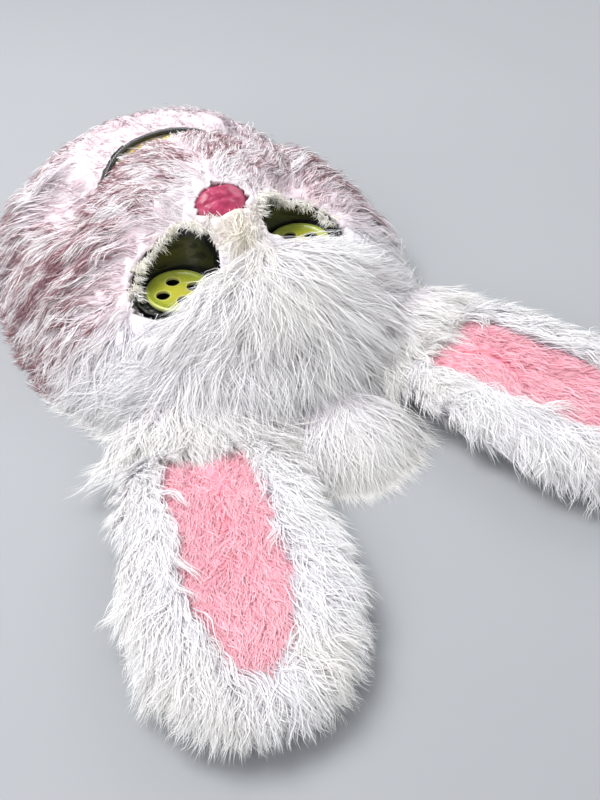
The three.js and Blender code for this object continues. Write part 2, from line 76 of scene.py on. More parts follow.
button_low, button_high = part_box("button_eye_left")
eye_line = (button_low.y + button_high.y) / 2
camera_turn = radians(-33.3)
camera_height = radians(45.1)
camera_roll = radians(-0.6)
camera_view = radians(44.82384)
camera_distance = 0.5767
camera_target = Vector((-0.0392, eye_line - 0.1325, 0.060))
back = Vector((
    sin(camera_turn) * cos(camera_height),
    -cos(camera_turn) * cos(camera_height),
    sin(camera_height),
))
level = Vector((cos(camera_turn), sin(camera_turn), 0))
upright = back.cross(level)
right = level * cos(camera_roll) + upright * sin(camera_roll)
up = upright * cos(camera_roll) - level * sin(camera_roll)
camera_data = bpy.data.cameras.new("camera")
camera_data.angle = camera_view
camera = added("camera", camera_data)
camera.matrix_world = Matrix.Translation(camera_target + back * camera_distance) @ Matrix(
    (right, up, back)
).transposed().to_4x4()
bpy.context.scene.camera = camera


# Studio: a matt grey floor under one soft light from above and a weaker one at each side.
class Value:
    """A socket of a material's node tree. Arithmetic on it adds Math nodes."""

    def __init__(self, tree, socket=None):
        self.tree = tree
        self.socket = socket

    def node(self, kind, settings=None, inputs=None, output=0):
        """Adds a node: its settings first, then the values or links of its sockets."""
        made = self.tree.nodes.new(kind)
        for key, setting in (settings or {}).items():
            setattr(made, key, setting)
        for key, value in (inputs or {}).items():
            socket = made.inputs[key]
            if isinstance(value, Value):
                self.tree.links.new(value.socket, socket)
            elif isinstance(value, tuple) and socket.type == "RGBA":
                socket.default_value = (*value, 1)
            else:
                socket.default_value = value
        return Value(self.tree, made.outputs[output] if made.outputs else None)

    def math(self, operation, first, second=0.0, clamp=False):
        settings = {"operation": operation, "use_clamp": clamp}
        return self.node("ShaderNodeMath", settings, {0: first, 1: second})

    def __add__(self, other):
        return self.math("ADD", self, other)

    def __sub__(self, other):
        return self.math("SUBTRACT", self, other)

    def __rsub__(self, other):
        return self.math("SUBTRACT", other, self)

    def __mul__(self, other):
        return self.math("MULTIPLY", self, other)

    __radd__ = __add__
    __rmul__ = __mul__

    def clamped(self):
        return self.math("ADD", self, 0.0, clamp=True)

    def step(self, low, high):
        """0 below low and 1 above high, and smooth between them."""
        settings = {"interpolation_type": "SMOOTHSTEP"}
        inputs = {"Value": self, "From Min": low, "From Max": high}
        return self.node("ShaderNodeMapRange", settings, inputs)

    def mix(self, first, second):
        """The colour first where this is 0 and second where it is 1."""
        inputs = {0: self, 6: first, 7: second}
        return self.node("ShaderNodeMix", {"data_type": "RGBA"}, inputs, output=2)

    def noise(self, place, scale, detail=2.0, roughness=0.5):
        inputs = {"Vector": place, "Scale": scale, "Detail": detail, "Roughness": roughness}
        return self.node("ShaderNodeTexNoise", None, inputs)

    def pits(self, place, scale, low, high):
        """1 in small round pits and 0 between them."""
        cells = self.node("ShaderNodeTexVoronoi", None, {"Vector": place, "Scale": scale})
        return 1 - cells.step(low, high)

    def bump(self, strength, distance):
        inputs = {"Height": self, "Strength": strength, "Distance": distance}
        return self.node("ShaderNodeBump", None, inputs)

    def attribute(self, name):
        return self.node("ShaderNodeAttribute", {"attribute_name": name}, output=2)


def new_material(name):
    """A new material, the start of its node tree and its object-space position."""
    material = bpy.data.materials.new(name)
    material.use_nodes = True
    material.node_tree.nodes.clear()
    tree = Value(material.node_tree)
    return material, tree, tree.node("ShaderNodeTexCoord", output=3)


def finish_material(material, tree, **inputs):
    """Ends the tree in a Principled shader. An input's name has _ for each space."""
    sockets = {key.replace("_", " "): value for key, value in inputs.items()}
    shader = tree.node("ShaderNodeBsdfPrincipled", None, sockets)
    tree.node("ShaderNodeOutputMaterial", None, {"Surface": shader})
    return material


def put(name, mesh, material, body=None, replaced=()):
    """Adds a mesh to the scene as a piece that rides a body and stands for CAD nodes."""
    piece = added(name, mesh)
    mesh.materials.append(material)
    if body:
        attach(piece, body)
    if replaced:
        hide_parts(*replaced)
    return piece


floor_material, tree, place = new_material("floor_paper")
shade_of_paper = tree.noise(place, 3.0).mix((0.36, 0.37, 0.39), (0.39, 0.40, 0.42))
finish_material(floor_material, tree, Base_Color=shade_of_paper, Roughness=0.75)
floor_mesh = bpy.data.meshes.new("floor")
floor_half = 4.0
floor_mesh.from_pydata(
    [(x, y, 0) for x, y in ((-1, -1), (1, -1), (1, 1), (-1, 1))], [], [(0, 1, 2, 3)]
)
floor_mesh.transform(Matrix.Scale(floor_half, 4))
put("floor", floor_mesh, floor_material)

lamp_target = Vector((0, 0, 0.05))
for name, spot, width, power in (
    ("soft_top", (-0.35, 0.50, 1.30), 0.9, 20),
    ("soft_side", (-1.30, -0.70, 0.90), 0.9, 6.5),
    ("soft_far", (1.20, 0.30, 0.90), 0.9, 5),
):
    lamp = bpy.data.lights.new(name, "AREA")
    lamp.shape = "DISK"
    lamp.size = width
    lamp.energy = power
    light = added(name, lamp)
    light.location = spot
    light.rotation_euler = (lamp_target - light.location).to_track_quat("-Z", "Y").to_euler()
world = bpy.data.worlds.new("studio")
world.use_nodes = True
sky = world.node_tree.nodes["Background"].inputs
sky["Color"].default_value = (0.93, 0.96, 1.0, 1)
sky["Strength"].default_value = 0.55
bpy.context.scene.world = world
bpy.context.scene.view_settings.view_transform = "Standard"


# Face shell: a thin dome moulded in off-white plastic, with a flange at its rim. Its sizes
# carry everything on the face. The wearer sees its ribbed, slightly glossy inner side.
shell_low, shell_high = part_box("face_shell")
flange_width = 0.007
face_half_width = shell_high.x - flange_width
face_centre = eye_line + 0.034
crown_reach = face_centre - (shell_low.y + flange_width)
chin_reach = shell_high.y - flange_width - face_centre
outline_power = 0.92
dome_height = 0.076
dome_swell = 3.2
dome_flatness = 0.72
muzzle_rise = 0.030
muzzle_centre = eye_line + 0.096
muzzle_half_width = 0.067
muzzle_half_length = 0.106
muzzle_blend = 1.3
rim_height = 0.001
sides = ((-1, "left"), (1, "right"))


def ease(value):
    value = np.clip(value, 0, 1)
    return value * value * (3 - 2 * value)


def signed_power(value, power):
    return np.sign(value) * np.abs(value) ** power


def face_height(x, y, lift=0.0):
    """Height of the plain dome and muzzle over (x, y), raised by lift."""
    along = (y - face_centre) / np.where(y > face_centre, chin_reach, crown_reach)
    power = 2 / outline_power
    reach = (np.abs(x / face_half_width) ** power + np.abs(along) ** power) ** (1 / power)
    fall = np.maximum(0, 1 - reach**dome_swell)
    distance = (x / muzzle_half_width) ** 2 + ((y - muzzle_centre) / muzzle_half_length) ** 2
    muzzle = muzzle_rise * (1 - np.minimum(1, distance) ** 2) ** muzzle_blend
    return rim_height + (dome_height + lift) * fall**dome_flatness + muzzle


def face_point(disc, lift):
    """Points of the face over a flat disc of radius 1, raised by lift."""
    angle = np.arctan2(disc[..., 1], disc[..., 0])
    share = np.sin(np.minimum(1, np.hypot(disc[..., 0], disc[..., 1])) * pi / 2)
    across = signed_power(np.cos(angle), outline_power) * share
    along = signed_power(np.sin(angle), outline_power) * share
    x = face_half_width * across
    y = face_centre + np.where(along > 0, chin_reach, crown_reach) * along
    z = face_height(x, y, lift)
    return np.stack([x + lift * across, y + lift * along, z], -1)


shell_material, tree, place = new_material("moulded_plastic")
ribs = tree.noise(place, 90, 3)
finish_material(
    shell_material,
    tree,
    Base_Color=tree.noise(place, 14).mix((0.60, 0.56, 0.50), (0.70, 0.66, 0.60)),
    Roughness=ribs * 0.25 + 0.40,
    Normal=ribs.bump(0.3, 0.0006),
)


# Long-pile fur: pointed locks of fine fibres over a dense undercoat, knitted into a
# backing cloth. Each lock starts upright, leans with the nap and gathers at its tip.
fibre_points = 8
fibre_half_width = 0.00023
lowest_fibre = 0.0008
fibre_map, base_map = 0.74, 0.76


def unit(vectors):
    return vectors / np.maximum(np.linalg.norm(vectors, axis=-1, keepdims=True), 1e-9)


def flatwise(x, y):
    """Places or directions in the plane of the floor."""
    return np.stack([x, y, 0 * x], -1)


def grow(rng, roots, outward, nap, length, rise, per_lock=14, spread=0.0027, curl=0.18,
         gather=0.8, droop=0.35, waves=1.3, tip_rise=0.05, frizz=0.0011):
    """Fibres, as points from root to tip, in locks. nap is the way that each lock leans."""
    locks = len(roots)
    fibres = locks * per_lock
    lock = np.repeat(np.arange(locks), per_lock)
    outward = unit(outward)
    nap = unit(nap - outward * (nap * outward).sum(-1, keepdims=True))
    side = np.cross(outward, nap)
    t = np.linspace(0, 1, fibre_points)[None, :, None]
    turn = rng.normal(0, 0.22, (locks, 1))
    nap, side = nap * np.cos(turn) + side * np.sin(turn), side * np.cos(turn) - nap * np.sin(turn)
    rise = np.broadcast_to(rise, locks) * rng.uniform(0.8, 1.2, locks)
    phase = rng.uniform(0, 2 * pi, locks)
    bend = rng.uniform(0.5, 1.5, locks) * curl
    lean = (rise[lock, None, None] - tip_rise) * (1 - t) ** 1.4 + tip_rise
    lean = lean + rng.normal(0, 0.07, fibres)[:, None, None]
    swing = bend[lock, None, None] * np.sin(2 * pi * waves * t + phase[lock, None, None])
    swing = swing + rng.normal(0, 0.07, fibres)[:, None, None] * (0.4 + t)
    way = (
        nap[lock, None] * np.cos(lean)
        + outward[lock, None] * np.sin(lean)
        + side[lock, None] * swing
        - np.array([0, 0, 1.0]) * droop * t**1.5
    )
    size = np.broadcast_to(length, locks)[lock] * rng.uniform(0.72, 1.08, fibres)
    step = unit(way) * (size / (fibre_points - 1))[:, None, None]
    path = np.cumsum(step, 1) - step[:, :1]
    offset = side[lock] * rng.normal(0, 1, (fibres, 1)) + nap[lock] * rng.normal(0, 1, (fibres, 1))
    offset = (offset * spread)[:, None, :]
    loose = 1 - gather * rng.uniform(0.75, 1.1, fibres)[:, None, None] * t**0.8
    stray = rng.normal(0, 1, (fibres, 3))[:, None, :] * frizz * t**1.5
    return roots[lock, None] + offset * loose + path + stray, lock


def polar(turn_count, ring_count, innermost):
    """Turns down the rows and shares outwards along the columns, for a grid over a disc."""
    turns = np.linspace(0, 2 * pi, turn_count, endpoint=False)[:, None]
    return turns, np.linspace(innermost, 1, ring_count)[None, :]


def smoothed(mesh):
    mesh.polygons.foreach_set("use_smooth", np.ones(len(mesh.polygons), bool))
    return mesh


def fur_mesh(name, rng, fibres, lock, outward, tints, base=None):
    """One mesh of tapered fibres, with the undercoat base (points, faces, tints) under them.
    tints are values for each lock. The bake's map gives each lock its own cell."""
    count = len(fibres)
    fibres = fibres.copy()
    fibres[..., 2] = np.maximum(fibres[..., 2], lowest_fibre)
    along = np.linspace(0, 1, fibre_points)
    tangent = unit(np.gradient(fibres, axis=1))
    flat = unit(np.cross(tangent, outward[lock][:, None]))
    twist = rng.uniform(-0.9, 0.9, count)[:, None, None]
    flat = flat * np.cos(twist) + np.cross(tangent, flat) * np.sin(twist)
    thickness = fibre_half_width * rng.uniform(0.7, 1.4, count)[:, None, None]
    taper = (0.75 + 0.5 * along - 1.25 * along**3)[None, :, None]
    reach = flat * thickness * taper
    rings = fibre_points - 1
    verts = np.empty((count, 2 * rings + 1, 3), np.float32)
    verts[:, 0 : 2 * rings : 2] = (fibres - reach)[:, :-1]
    verts[:, 1 : 2 * rings : 2] = (fibres + reach)[:, :-1]
    verts[:, -1] = fibres[:, -1]
    quads = [(2 * i, 2 * i + 1, 2 * i + 3, 2 * i + 2) for i in range(rings - 1)]
    corners = np.array(sum(quads, ()) + (2 * rings - 2, 2 * rings - 1, 2 * rings))
    per_fibre = 2 * rings + 1
    loops = (corners[None] + per_fibre * np.arange(count)[:, None]).ravel()
    sizes = np.tile([4] * len(quads) + [3], count)
    root_to_tip = np.repeat(along, 2)[:-1]
    values = {"along": np.tile(root_to_tip, count)}
    for key, tint in tints.items():
        values[key] = np.repeat(tint[lock], per_fibre)
    values["fibre"] = np.repeat(rng.uniform(0, 1, count), per_fibre)
    cells = int(np.ceil(sqrt(lock.max() + 1)))
    column, row = lock % cells, lock // cells
    u = np.repeat(column + rng.uniform(0.25, 0.75, count), per_fibre) / cells
    v = (np.repeat(row, per_fibre) + 0.1 + 0.8 * values["along"]) / cells * fibre_map
    points = verts.reshape(-1, 3)
    if base is not None:
        base_points, base_faces, base_tints = base
        first = len(points)
        points = np.concatenate([points, base_points])
        loops = np.concatenate([loops, base_faces.ravel() + first])
        sizes = np.concatenate([sizes, np.full(len(base_faces), 4)])
        low, high = base_points.min(0), base_points.max(0)
        where = (base_points - low) / (high - low)
        u = np.concatenate([u, where[:, 0]])
        v = np.concatenate([v, base_map + (1 - base_map) * where[:, 1]])
        for key in values:
            extra = base_tints.get(key, 0.0)
            values[key] = np.concatenate([values[key], np.broadcast_to(extra, len(base_points))])
    mesh = bpy.data.meshes.new(name)
    mesh.vertices.add(len(points))
    mesh.vertices.foreach_set("co", points.astype(np.float32).ravel())
    mesh.loops.add(len(loops))
    mesh.loops.foreach_set("vertex_index", loops.astype(np.int32))
    mesh.polygons.add(len(sizes))
    starts = np.concatenate([[0], np.cumsum(sizes)[:-1]])
    mesh.polygons.foreach_set("loop_start", starts.astype(np.int32))
    mesh.update(calc_edges=True)
    smoothed(mesh)
    for key, value in values.items():
        layer = mesh.attributes.new(key, "FLOAT", "POINT")
        layer.data.foreach_set("value", value.astype(np.float32))
    flat_map = mesh.uv_layers.new(name="OFBake")
    corners = np.stack([u[loops], v[loops]], -1).astype(np.float32)
    flat_map.uv.foreach_set("vector", corners.ravel())
    return mesh


def slab(top, bottom, wrap):
    """Points and quads of a closed sheet between two grids. wrap joins the first axis."""
    rows, columns = top.shape[:2]
    index = np.arange(rows * columns).reshape(rows, columns)
    if wrap:
        index = np.concatenate([index, index[:1]])
    a, b, c, d = index[:-1, :-1], index[1:, :-1], index[1:, 1:], index[:-1, 1:]
    upper = np.stack([a, b, c, d], -1).reshape(-1, 4)
    lower = upper[:, ::-1] + rows * columns
    walls = [(index[:, 0], -1), (index[:, -1], 1)]
    if not wrap:
        walls += [(index[0], 1), (index[-1], -1)]
    faces = [upper, lower]
    for edge, turn in walls:
        below = edge + rows * columns
        wall = np.stack([edge[:-1], edge[1:], below[1:], below[:-1]], -1)
        faces.append(wall[:, ::-1] if turn > 0 else wall)
    points = np.concatenate([top.reshape(-1, 3), bottom.reshape(-1, 3)])
    return points, np.concatenate(faces)


wave_layers = 7
wave_reach = 2.6


def wavy(points, size, depth, seed=0):
    """Smooth random heights over points, from sines of the given wavelength."""
    draw = np.random.default_rng(seed)
    total = np.zeros(points.shape[:-1])
    for layer in range(wave_layers):
        way = unit(draw.normal(0, 1, 3)) * 2 * pi / size * draw.uniform(0.6, 1.8)
        total += np.sin(points @ way + draw.uniform(0, 2 * pi))
    return depth * total / wave_reach


def fur_material(name, shaded_root, middle, tip, stain=None, cream=(0.80, 0.74, 0.55)):
    """Fur whose colour runs from root to tip: a darker root as painted shade deep in the pile and a
    lighter tip as painted light, with tinges that each lock carries.
    """
    material, tree, place = new_material(name)
    along = tree.attribute("along")
    fibre = tree.attribute("fibre")
    # Painted shade and painted light: the roots take the darker first colour, as shade deep in the
    # pile, and the tips the lighter last colour, as light falling on them.
    pile = along.step(0.0, 0.45).mix(shaded_root, middle)
    pile = along.step(0.35, 1.0).mix(pile, tip)
    patch = tree.noise(place, 22, 3).step(0.35, 0.75)
    pile = (patch * 0.35).mix(pile, tuple(0.93 * c for c in middle))
    pile = (tree.attribute("cream") * (fibre * 0.6 + 0.4)).clamped().mix(pile, cream)
    if stain:
        tinge, mark = stain
        soaked = tree.attribute("stain")
        pile = (soaked.step(0.1, 0.9) * 0.45).mix(pile, tinge)
        marked = (soaked * (along + fibre * 0.5 - 0.25).step(0.40, 0.72)).step(0.2, 0.5)
        pile = (marked * 0.92).mix(pile, mark)
    pile = (fibre.step(0.75, 1.0) * 0.12).mix(pile, shaded_root)
    return finish_material(
        material, tree, Base_Color=pile, Roughness=fibre * 0.2 + 0.36,
        Sheen_Weight=0.2, Sheen_Roughness=0.4, Specular_IOR_Level=0.4,
    )


# Each fur's first colour is painted shade at the roots, and its last is painted light at the tips.
white_fur = fur_material(
    "white_fur", (0.70, 0.66, 0.72), (0.90, 0.88, 0.90), (0.96, 0.95, 0.94)
)
stained_fur = fur_material(
    "stained_fur", (0.80, 0.70, 0.74), (0.91, 0.87, 0.89), (0.96, 0.94, 0.94),
    stain=((0.88, 0.64, 0.69), (0.19, 0.014, 0.035)),
)


# Face panels: muzzle, chin, two cheeks and two forehead halves, cut from one kind of fur
# and sewn to each other. Sprayed wine-red paint has stiffened the tips around the mouth.
eye_half_spacing = (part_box("button_eye_right")[0].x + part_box("button_eye_right")[1].x) / 2
eye_hole = (0.031, 0.027)
nose_low, nose_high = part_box("nose")
nose_centre = (nose_low.y + nose_high.y) / 2
nose_half = (nose_high.x, (nose_high.y - nose_low.y) / 2)
mouth_half_width = 0.054
corner_half_height = 0.002
mouth_corner = eye_line + 0.098
lower_lip = eye_line + 0.124
lip_room = 0.004
upper_lip = eye_line + 0.103
brow_seam = eye_line - 0.002
inner_eye = 0.015
chin_seam = 0.092
far_seam = eye_line + 0.260
whorl = eye_line - 0.034
parting_x = 0.003
backing_lift = 0.0028


def mouth_edges(x, inset=0.0):
    """The crown and chin sides of the mouth, drawn in by inset."""
    bow = 1 - (x / (mouth_half_width - 1.5 * inset)) ** 2
    top_corner, low_corner = mouth_corner - corner_half_height, mouth_corner + corner_half_height
    low = top_corner + inset + (upper_lip - top_corner) * bow
    return low, low_corner - inset + (lower_lip - low_corner) * bow


def lips(x):
    """The mouth's two sides, held at its corners beyond them."""
    return mouth_edges(np.clip(x, -mouth_half_width, mouth_half_width))


def eye_reach(x, y):
    """1 on the edge of an eye's hole in the fur, and less inside it."""
    return np.hypot((np.abs(x) - eye_half_spacing) / eye_hole[0], (y - eye_line) / eye_hole[1])


def nose_reach(x, y):
    """1 on the edge of the nose, and less inside it."""
    return np.hypot(x / nose_half[0], (y - nose_centre) / nose_half[1])


def open_places(x, y, margin):
    """True where the face has a hole: the eyes, the nose and the mouth."""
    eyes = eye_reach(x, y) < 1 + margin / eye_hole[0]
    nose = nose_reach(x, y) < 1 + margin / nose_half[0]
    low, high = mouth_edges(x)
    mouth = (np.abs(x) < mouth_half_width) & (y > low - margin) & (y < high + lip_room + margin)
    return eyes | nose | mouth


def side_of(x, y, start, end):
    """Positive on the left of the line from start to end."""
    return (end[0] - start[0]) * (y - start[1]) - (end[1] - start[1]) * (x - start[0])


def panel_of(x, y):
    """0 muzzle, 1 chin, 2 and 3 cheeks, 4 and 5 forehead, left before right."""
    width = np.abs(x)
    corner = (mouth_half_width, mouth_corner)
    within = side_of(width, y, (inner_eye, brow_seam), corner) > 0
    below = side_of(width, y, corner, (chin_seam, far_seam)) > 0
    muzzle = within & (y < np.mean(lips(x), 0))
    panel = np.where(muzzle, 0, np.where(below & (y > mouth_corner), 1, np.where(x < 0, 2, 3)))
    panel = np.where((y >= mouth_corner) & ~below, np.where(x < 0, 2, 3), panel)
    return np.where(y < brow_seam, np.where(x < 0, 4, 5), panel)


def pile_depth(x, y):
    """How high the undercoat stands: low on the muzzle, high round it."""
    across, down = 0.85 * muzzle_half_width, 0.8 * muzzle_half_length
    distance = (x / across) ** 2 + ((y - muzzle_centre) / down) ** 2
    low, high = lips(x)
    gap = np.hypot(np.maximum(np.abs(x) - mouth_half_width, 0), y - (low + high) / 2 + 0.004)
    by_mouth = np.exp(-((gap / 0.022) ** 4))
    by_eye = np.exp(-(((eye_reach(x, y) - 1) / 0.50) ** 2)) * np.where(y > eye_line, 1.0, 0.75)
    depth = 0.0045 + 0.0115 * ease(distance - 0.35)
    depth = depth + 0.013 * ease((y - high - 0.005) / 0.022)
    return np.maximum(0.0030, depth * (1 - 0.75 * by_mouth) * (1 - 0.58 * by_eye))


def face_nap(x, y):
    """The way the pile leans: away from the nose, and on the forehead from its parting."""
    from_nose = np.stack([1.3 * x, 0.8 * (y - nose_centre)], -1)
    sideways = np.stack([np.where(x > 0.004, 1.0, -1.0), np.full_like(x, 0.1)], -1)
    near_mouth = np.exp(-((y - upper_lip + 0.025) / 0.035) ** 2 - (x / 0.06) ** 2)[..., None]
    face = unit(from_nose) + 1.2 * near_mouth * sideways
    parted = np.clip(y, whorl - 0.006, whorl + 0.034)
    from_parting = unit(np.stack([x - parting_x, y - parted - 0.006], -1))
    wander = wavy(flatwise(x, y), 0.040, 0.40, seed=31)
    beside = (np.abs(x) - eye_half_spacing) * np.sign(x)
    away = unit(np.stack([beside / eye_hole[0], (y - eye_line) / eye_hole[1]], -1))
    crown = ease((brow_seam + 0.006 - y) / 0.012)[..., None]
    flat = unit(from_parting * crown + unit(face) * (1 - crown))
    by_eye = np.exp(-((eye_reach(x, y) - 1.1) / 0.32) ** 2)[..., None]
    flat = unit(flat + by_eye * (away + np.array([0, -0.35]) * crown) * (1.6 - 0.7 * crown))
    turn = wander * (0.45 + 0.55 * crown[..., 0])
    flat = np.stack([
        flat[..., 0] * np.cos(turn) - flat[..., 1] * np.sin(turn),
        flat[..., 0] * np.sin(turn) + flat[..., 1] * np.cos(turn),
    ], -1)
    return np.concatenate([flat, np.zeros_like(flat[..., :1])], -1)


def stain_at(x, y):
    """How much paint the fur carries: round the mouth and out over both cheeks."""
    down = ease((y - eye_line + 0.005) / 0.030)
    beside = ease((np.abs(x) - 0.075) / 0.03) * ease((y - eye_line + 0.005) / 0.05)
    under_nose = 1 - np.exp(-((x / 0.03) ** 2 + ((y - nose_centre - 0.005) / 0.03) ** 2))
    patches = 0.80 + wavy(flatwise(x, y), 0.045, 0.38, seed=5)
    spread = np.maximum(down * under_nose, beside)
    return np.clip(spread * patches * np.where(y < brow_seam, 0, 1), 0, 1)


def cream_at(x, y):
    """Yellowed places: on the crown side of the nose, the parting and the crown's right."""
    under_nose = np.exp(-((x / 0.020) ** 2 + ((y - nose_centre + 0.020) / 0.012) ** 2))
    parting = np.exp(-((x / 0.008) ** 2 + ((y - whorl) / 0.02) ** 2))
    crown = np.exp(-(((x - 0.05) / 0.02) ** 2 + ((y - eye_line + 0.085) / 0.02) ** 2))
    return np.clip(0.8 * under_nose + 0.5 * parting + 0.6 * crown, 0, 1)


def face_frame(disc, lift_of):
    """Points of the face at their own lift, with the outward direction there."""
    bare = face_point(disc, 0.0)
    lift = lift_of(bare[..., 0], bare[..., 1])
    steps = 0.004 * np.array([(1, 0), (-1, 0), (0, 1), (0, -1)])
    near = [face_point(disc + step, lift) for step in steps]
    outward = np.cross(near[0] - near[1], near[2] - near[3])
    area = np.linalg.norm(outward, axis=-1)
    return bare, face_point(disc, lift), unit(outward), area


def sample_disc(rng, count, lift_of, edge=0.985):
    """Random places on the disc, spread evenly over the curved face."""
    tries = rng.uniform(-1, 1, (count * 14, 2))
    tries = tries[np.hypot(tries[:, 0], tries[:, 1]) < edge]
    weight = face_frame(tries, lift_of)[3]
    return tries[rng.choice(len(tries), count, replace=False, p=weight / weight.sum())]


panel_names = ["muzzle_fur", "chin_fur", "cheek_fur_left", "cheek_fur_right",
               "forehead_fur_left", "forehead_fur_right"]
rng = np.random.default_rng(11)
density = 1.0
face_locks = 6200
discs = sample_disc(rng, int(face_locks * density), pile_depth)
bare, roots, outward, _ = face_frame(discs, pile_depth)
closed = ~open_places(bare[:, 0], bare[:, 1], 0.0015)
bare, roots, outward = bare[closed], roots[closed], outward[closed]
x, y = bare[:, 0], bare[:, 1]
forehead = y < brow_seam
muzzle = 1 - ease(((x / 0.06) ** 2 + ((y - muzzle_centre) / 0.09) ** 2) - 0.3)
chin = ease((y - eye_line - 0.020) / 0.09) * (1 - muzzle)
length = 0.037 - 0.016 * muzzle + 0.014 * forehead + 0.004 * chin
near_eye = np.exp(-(((eye_reach(x, y) - 1) / 0.35) ** 2))
near_eye = near_eye * np.where(y > eye_line - 0.004, 1.0, 0.35)
near_nose = np.exp(-((nose_reach(x, y) - 1) / 0.7) ** 2)
lip_gap = y - np.mean(lips(x), 0)
lip_gap = np.where(lip_gap > 0, lip_gap * 1.9, lip_gap + 0.003)
corner_gap = np.maximum(np.abs(x) - mouth_half_width, 0)
near_mouth = np.exp(-((np.hypot(corner_gap, lip_gap) / 0.021) ** 4))
length = length * (1 - 0.45 * near_eye) * (1 - 0.76 * near_nose) * (1 - 0.45 * near_mouth)
rise = 0.80 - 0.30 * muzzle - 0.42 * forehead + 0.10 * chin
rise = rise * (1 - 0.75 * near_mouth) * (1 - 0.5 * near_eye) * (1 - 0.45 * near_nose)
nap = face_nap(x, y)
outward_flat = outward * np.array([1, 1, 0.35])
nap = nap + 0.35 * outward_flat * ease((np.hypot(*discs[closed].T) - 0.6) / 0.3)[:, None]
lock_panel = panel_of(x, y)
lock_noise = rng.uniform(0, 1, len(x))
stain = stain_at(x, y) * np.where(lock_noise < 0.66, 1.0, 0.10)
cream = cream_at(x, y)

turns, outs = polar(150, 64, 0.004)
grid = np.stack([np.cos(turns) * outs, np.sin(turns) * outs], -1)
grid_bare, grid_top, grid_out, _ = face_frame(grid, pile_depth)
grid_top = grid_top + grid_out * wavy(grid_top, 0.012, 0.0016, seed=2)[..., None]
grid_top[..., 2] = np.maximum(grid_top[..., 2], 0.0012)
grid_low = face_frame(grid, lambda x, y: 0 * x + backing_lift)[1]
grid_low[..., 2] = np.maximum(grid_low[..., 2], 0.0006)
base_points, base_faces = slab(grid_top, grid_low, wrap=True)
base_bare = np.concatenate([grid_bare.reshape(-1, 3)] * 2)
face_middle = base_bare[base_faces].mean(1)
face_panel = panel_of(face_middle[:, 0], face_middle[:, 1])
face_open = open_places(face_middle[:, 0], face_middle[:, 1], 0.0)


def keep_faces(points, faces, keep, bare):
    """The kept faces of a sheet's two sides, with walls where they were parted."""
    faces = faces[keep]
    edges = np.concatenate([faces[:, [i, (i + 1) % 4]] for i in range(4)])
    ordered = np.sort(edges, 1)
    _, first, counts = np.unique(ordered, axis=0, return_index=True, return_counts=True)
    half = len(points) // 2
    rim = edges[first[counts == 1]]
    rim = rim[(rim < half).all(1)]
    walls = np.stack([rim[:, 1], rim[:, 0], rim[:, 0] + half, rim[:, 1] + half], -1)
    faces = np.concatenate([faces, walls])
    used, compact = np.unique(faces, return_inverse=True)
    return points[used], compact.reshape(-1, 4), bare[used]


for number, name in enumerate(panel_names):
    mine = lock_panel == number
    fibres, lock = grow(
        rng, roots[mine], outward[mine], nap[mine], length[mine], rise[mine],
        per_lock=15, gather=0.88, curl=0.42, waves=1.1, droop=0.5 if number > 3 else 0.3,
    )
    points, faces, where = keep_faces(
        base_points, base_faces, (face_panel == number) & ~face_open, base_bare
    )
    # along 0.12 gives the undercoat nearly the darker root colour: painted shade between the locks.
    under = {"along": 0.12, "stain": 0.6 * stain_at(where[:, 0], where[:, 1]),
             "cream": cream_at(where[:, 0], where[:, 1]), "fibre": 0.5}
    tints = {"stain": stain[mine], "cream": cream[mine]}
    mesh = fur_mesh(name, rng, fibres, lock, outward[mine], tints, (points, faces, under))
    fur, slot = (white_fur, "white_fur") if number > 3 else (stained_fur, "stained_fur")
    put(name + "_pile", mesh, fur, "head", [name])


# Extra tufts, sewn into the seams: a curly yellowed fringe on the chin side of each eye, the
# silky forelock that falls from the whorl to the crown, and a lock over each eye.
def tuft(rng, name, roots, nap, cream, length, rise, **manner):
    """A piece of white locks alone. cream is how yellowed each lock is."""
    outward = np.tile([0.0, 0.0, 1.0], (len(roots), 1))
    fibres, lock = grow(rng, roots, outward, nap, length, rise, **manner)
    tints = {"stain": np.zeros(len(roots)), "cream": cream}
    mesh = fur_mesh(name, rng, fibres, lock, outward, tints)
    return put(name, mesh, white_fur, "head", ())


def on_face(x, y, lift):
    return np.stack([x, y, face_height(x, y, lift)], -1)


for side, word in sides:
    count = 150
    angle = np.radians(rng.uniform(12, 168, count))
    x = side * eye_half_spacing + eye_hole[0] * 1.05 * np.cos(angle)
    y = eye_line + eye_hole[1] * 1.07 * np.sin(angle)
    nap = flatwise(0.5 * rng.normal(0, 1, count) - 0.3 * np.cos(angle), -np.sin(angle))
    tuft(rng, f"eye_fringe_{word}", on_face(x, y, 0.004), nap, rng.uniform(0.2, 0.9, count), 0.013,
         0.6, per_lock=7, curl=0.7, waves=2.0, spread=0.0014, gather=0.6)

count = int(560 * density)
x = rng.normal(0.002, 0.011, count)
y = whorl + 0.014 - 0.066 * rng.uniform(0, 1, count)
fan = np.clip(x / 0.012 + rng.normal(0, 0.5, count), -2.2, 2.2)
nap = flatwise(fan, -0.75 - 0.25 * rng.uniform(0, 1, count))
tuft(rng, "forelock", on_face(x, y, 0.013), nap, 0.6 * cream_at(x, y) * rng.uniform(0, 1, count),
     0.050 + 0.018 * rng.uniform(0, 1, count), 0.22, per_lock=13, curl=0.42, waves=1.2,
     spread=0.0026, gather=0.9, droop=0.6)
for side, word in sides:
    count = int(130 * density)
    x = side * rng.uniform(0.014, 0.060, count)
    y = eye_line - 0.0315 - rng.uniform(0, 0.011, count)
    y = y + 0.005 * ease((0.035 - np.abs(x)) / 0.02)
    nap = flatwise(side * np.ones(count), 0.02 - 0.35 * rng.uniform(0, 1, count))
    tuft(rng, f"brow_lock_{word}", on_face(x, y, 0.011), nap, 0.4 * cream_at(x, y),
         0.036 + 0.012 * rng.uniform(0, 1, count), 0.16, per_lock=13, curl=0.30, waves=1.0,
         spread=0.0026, gather=0.9, droop=0.45)


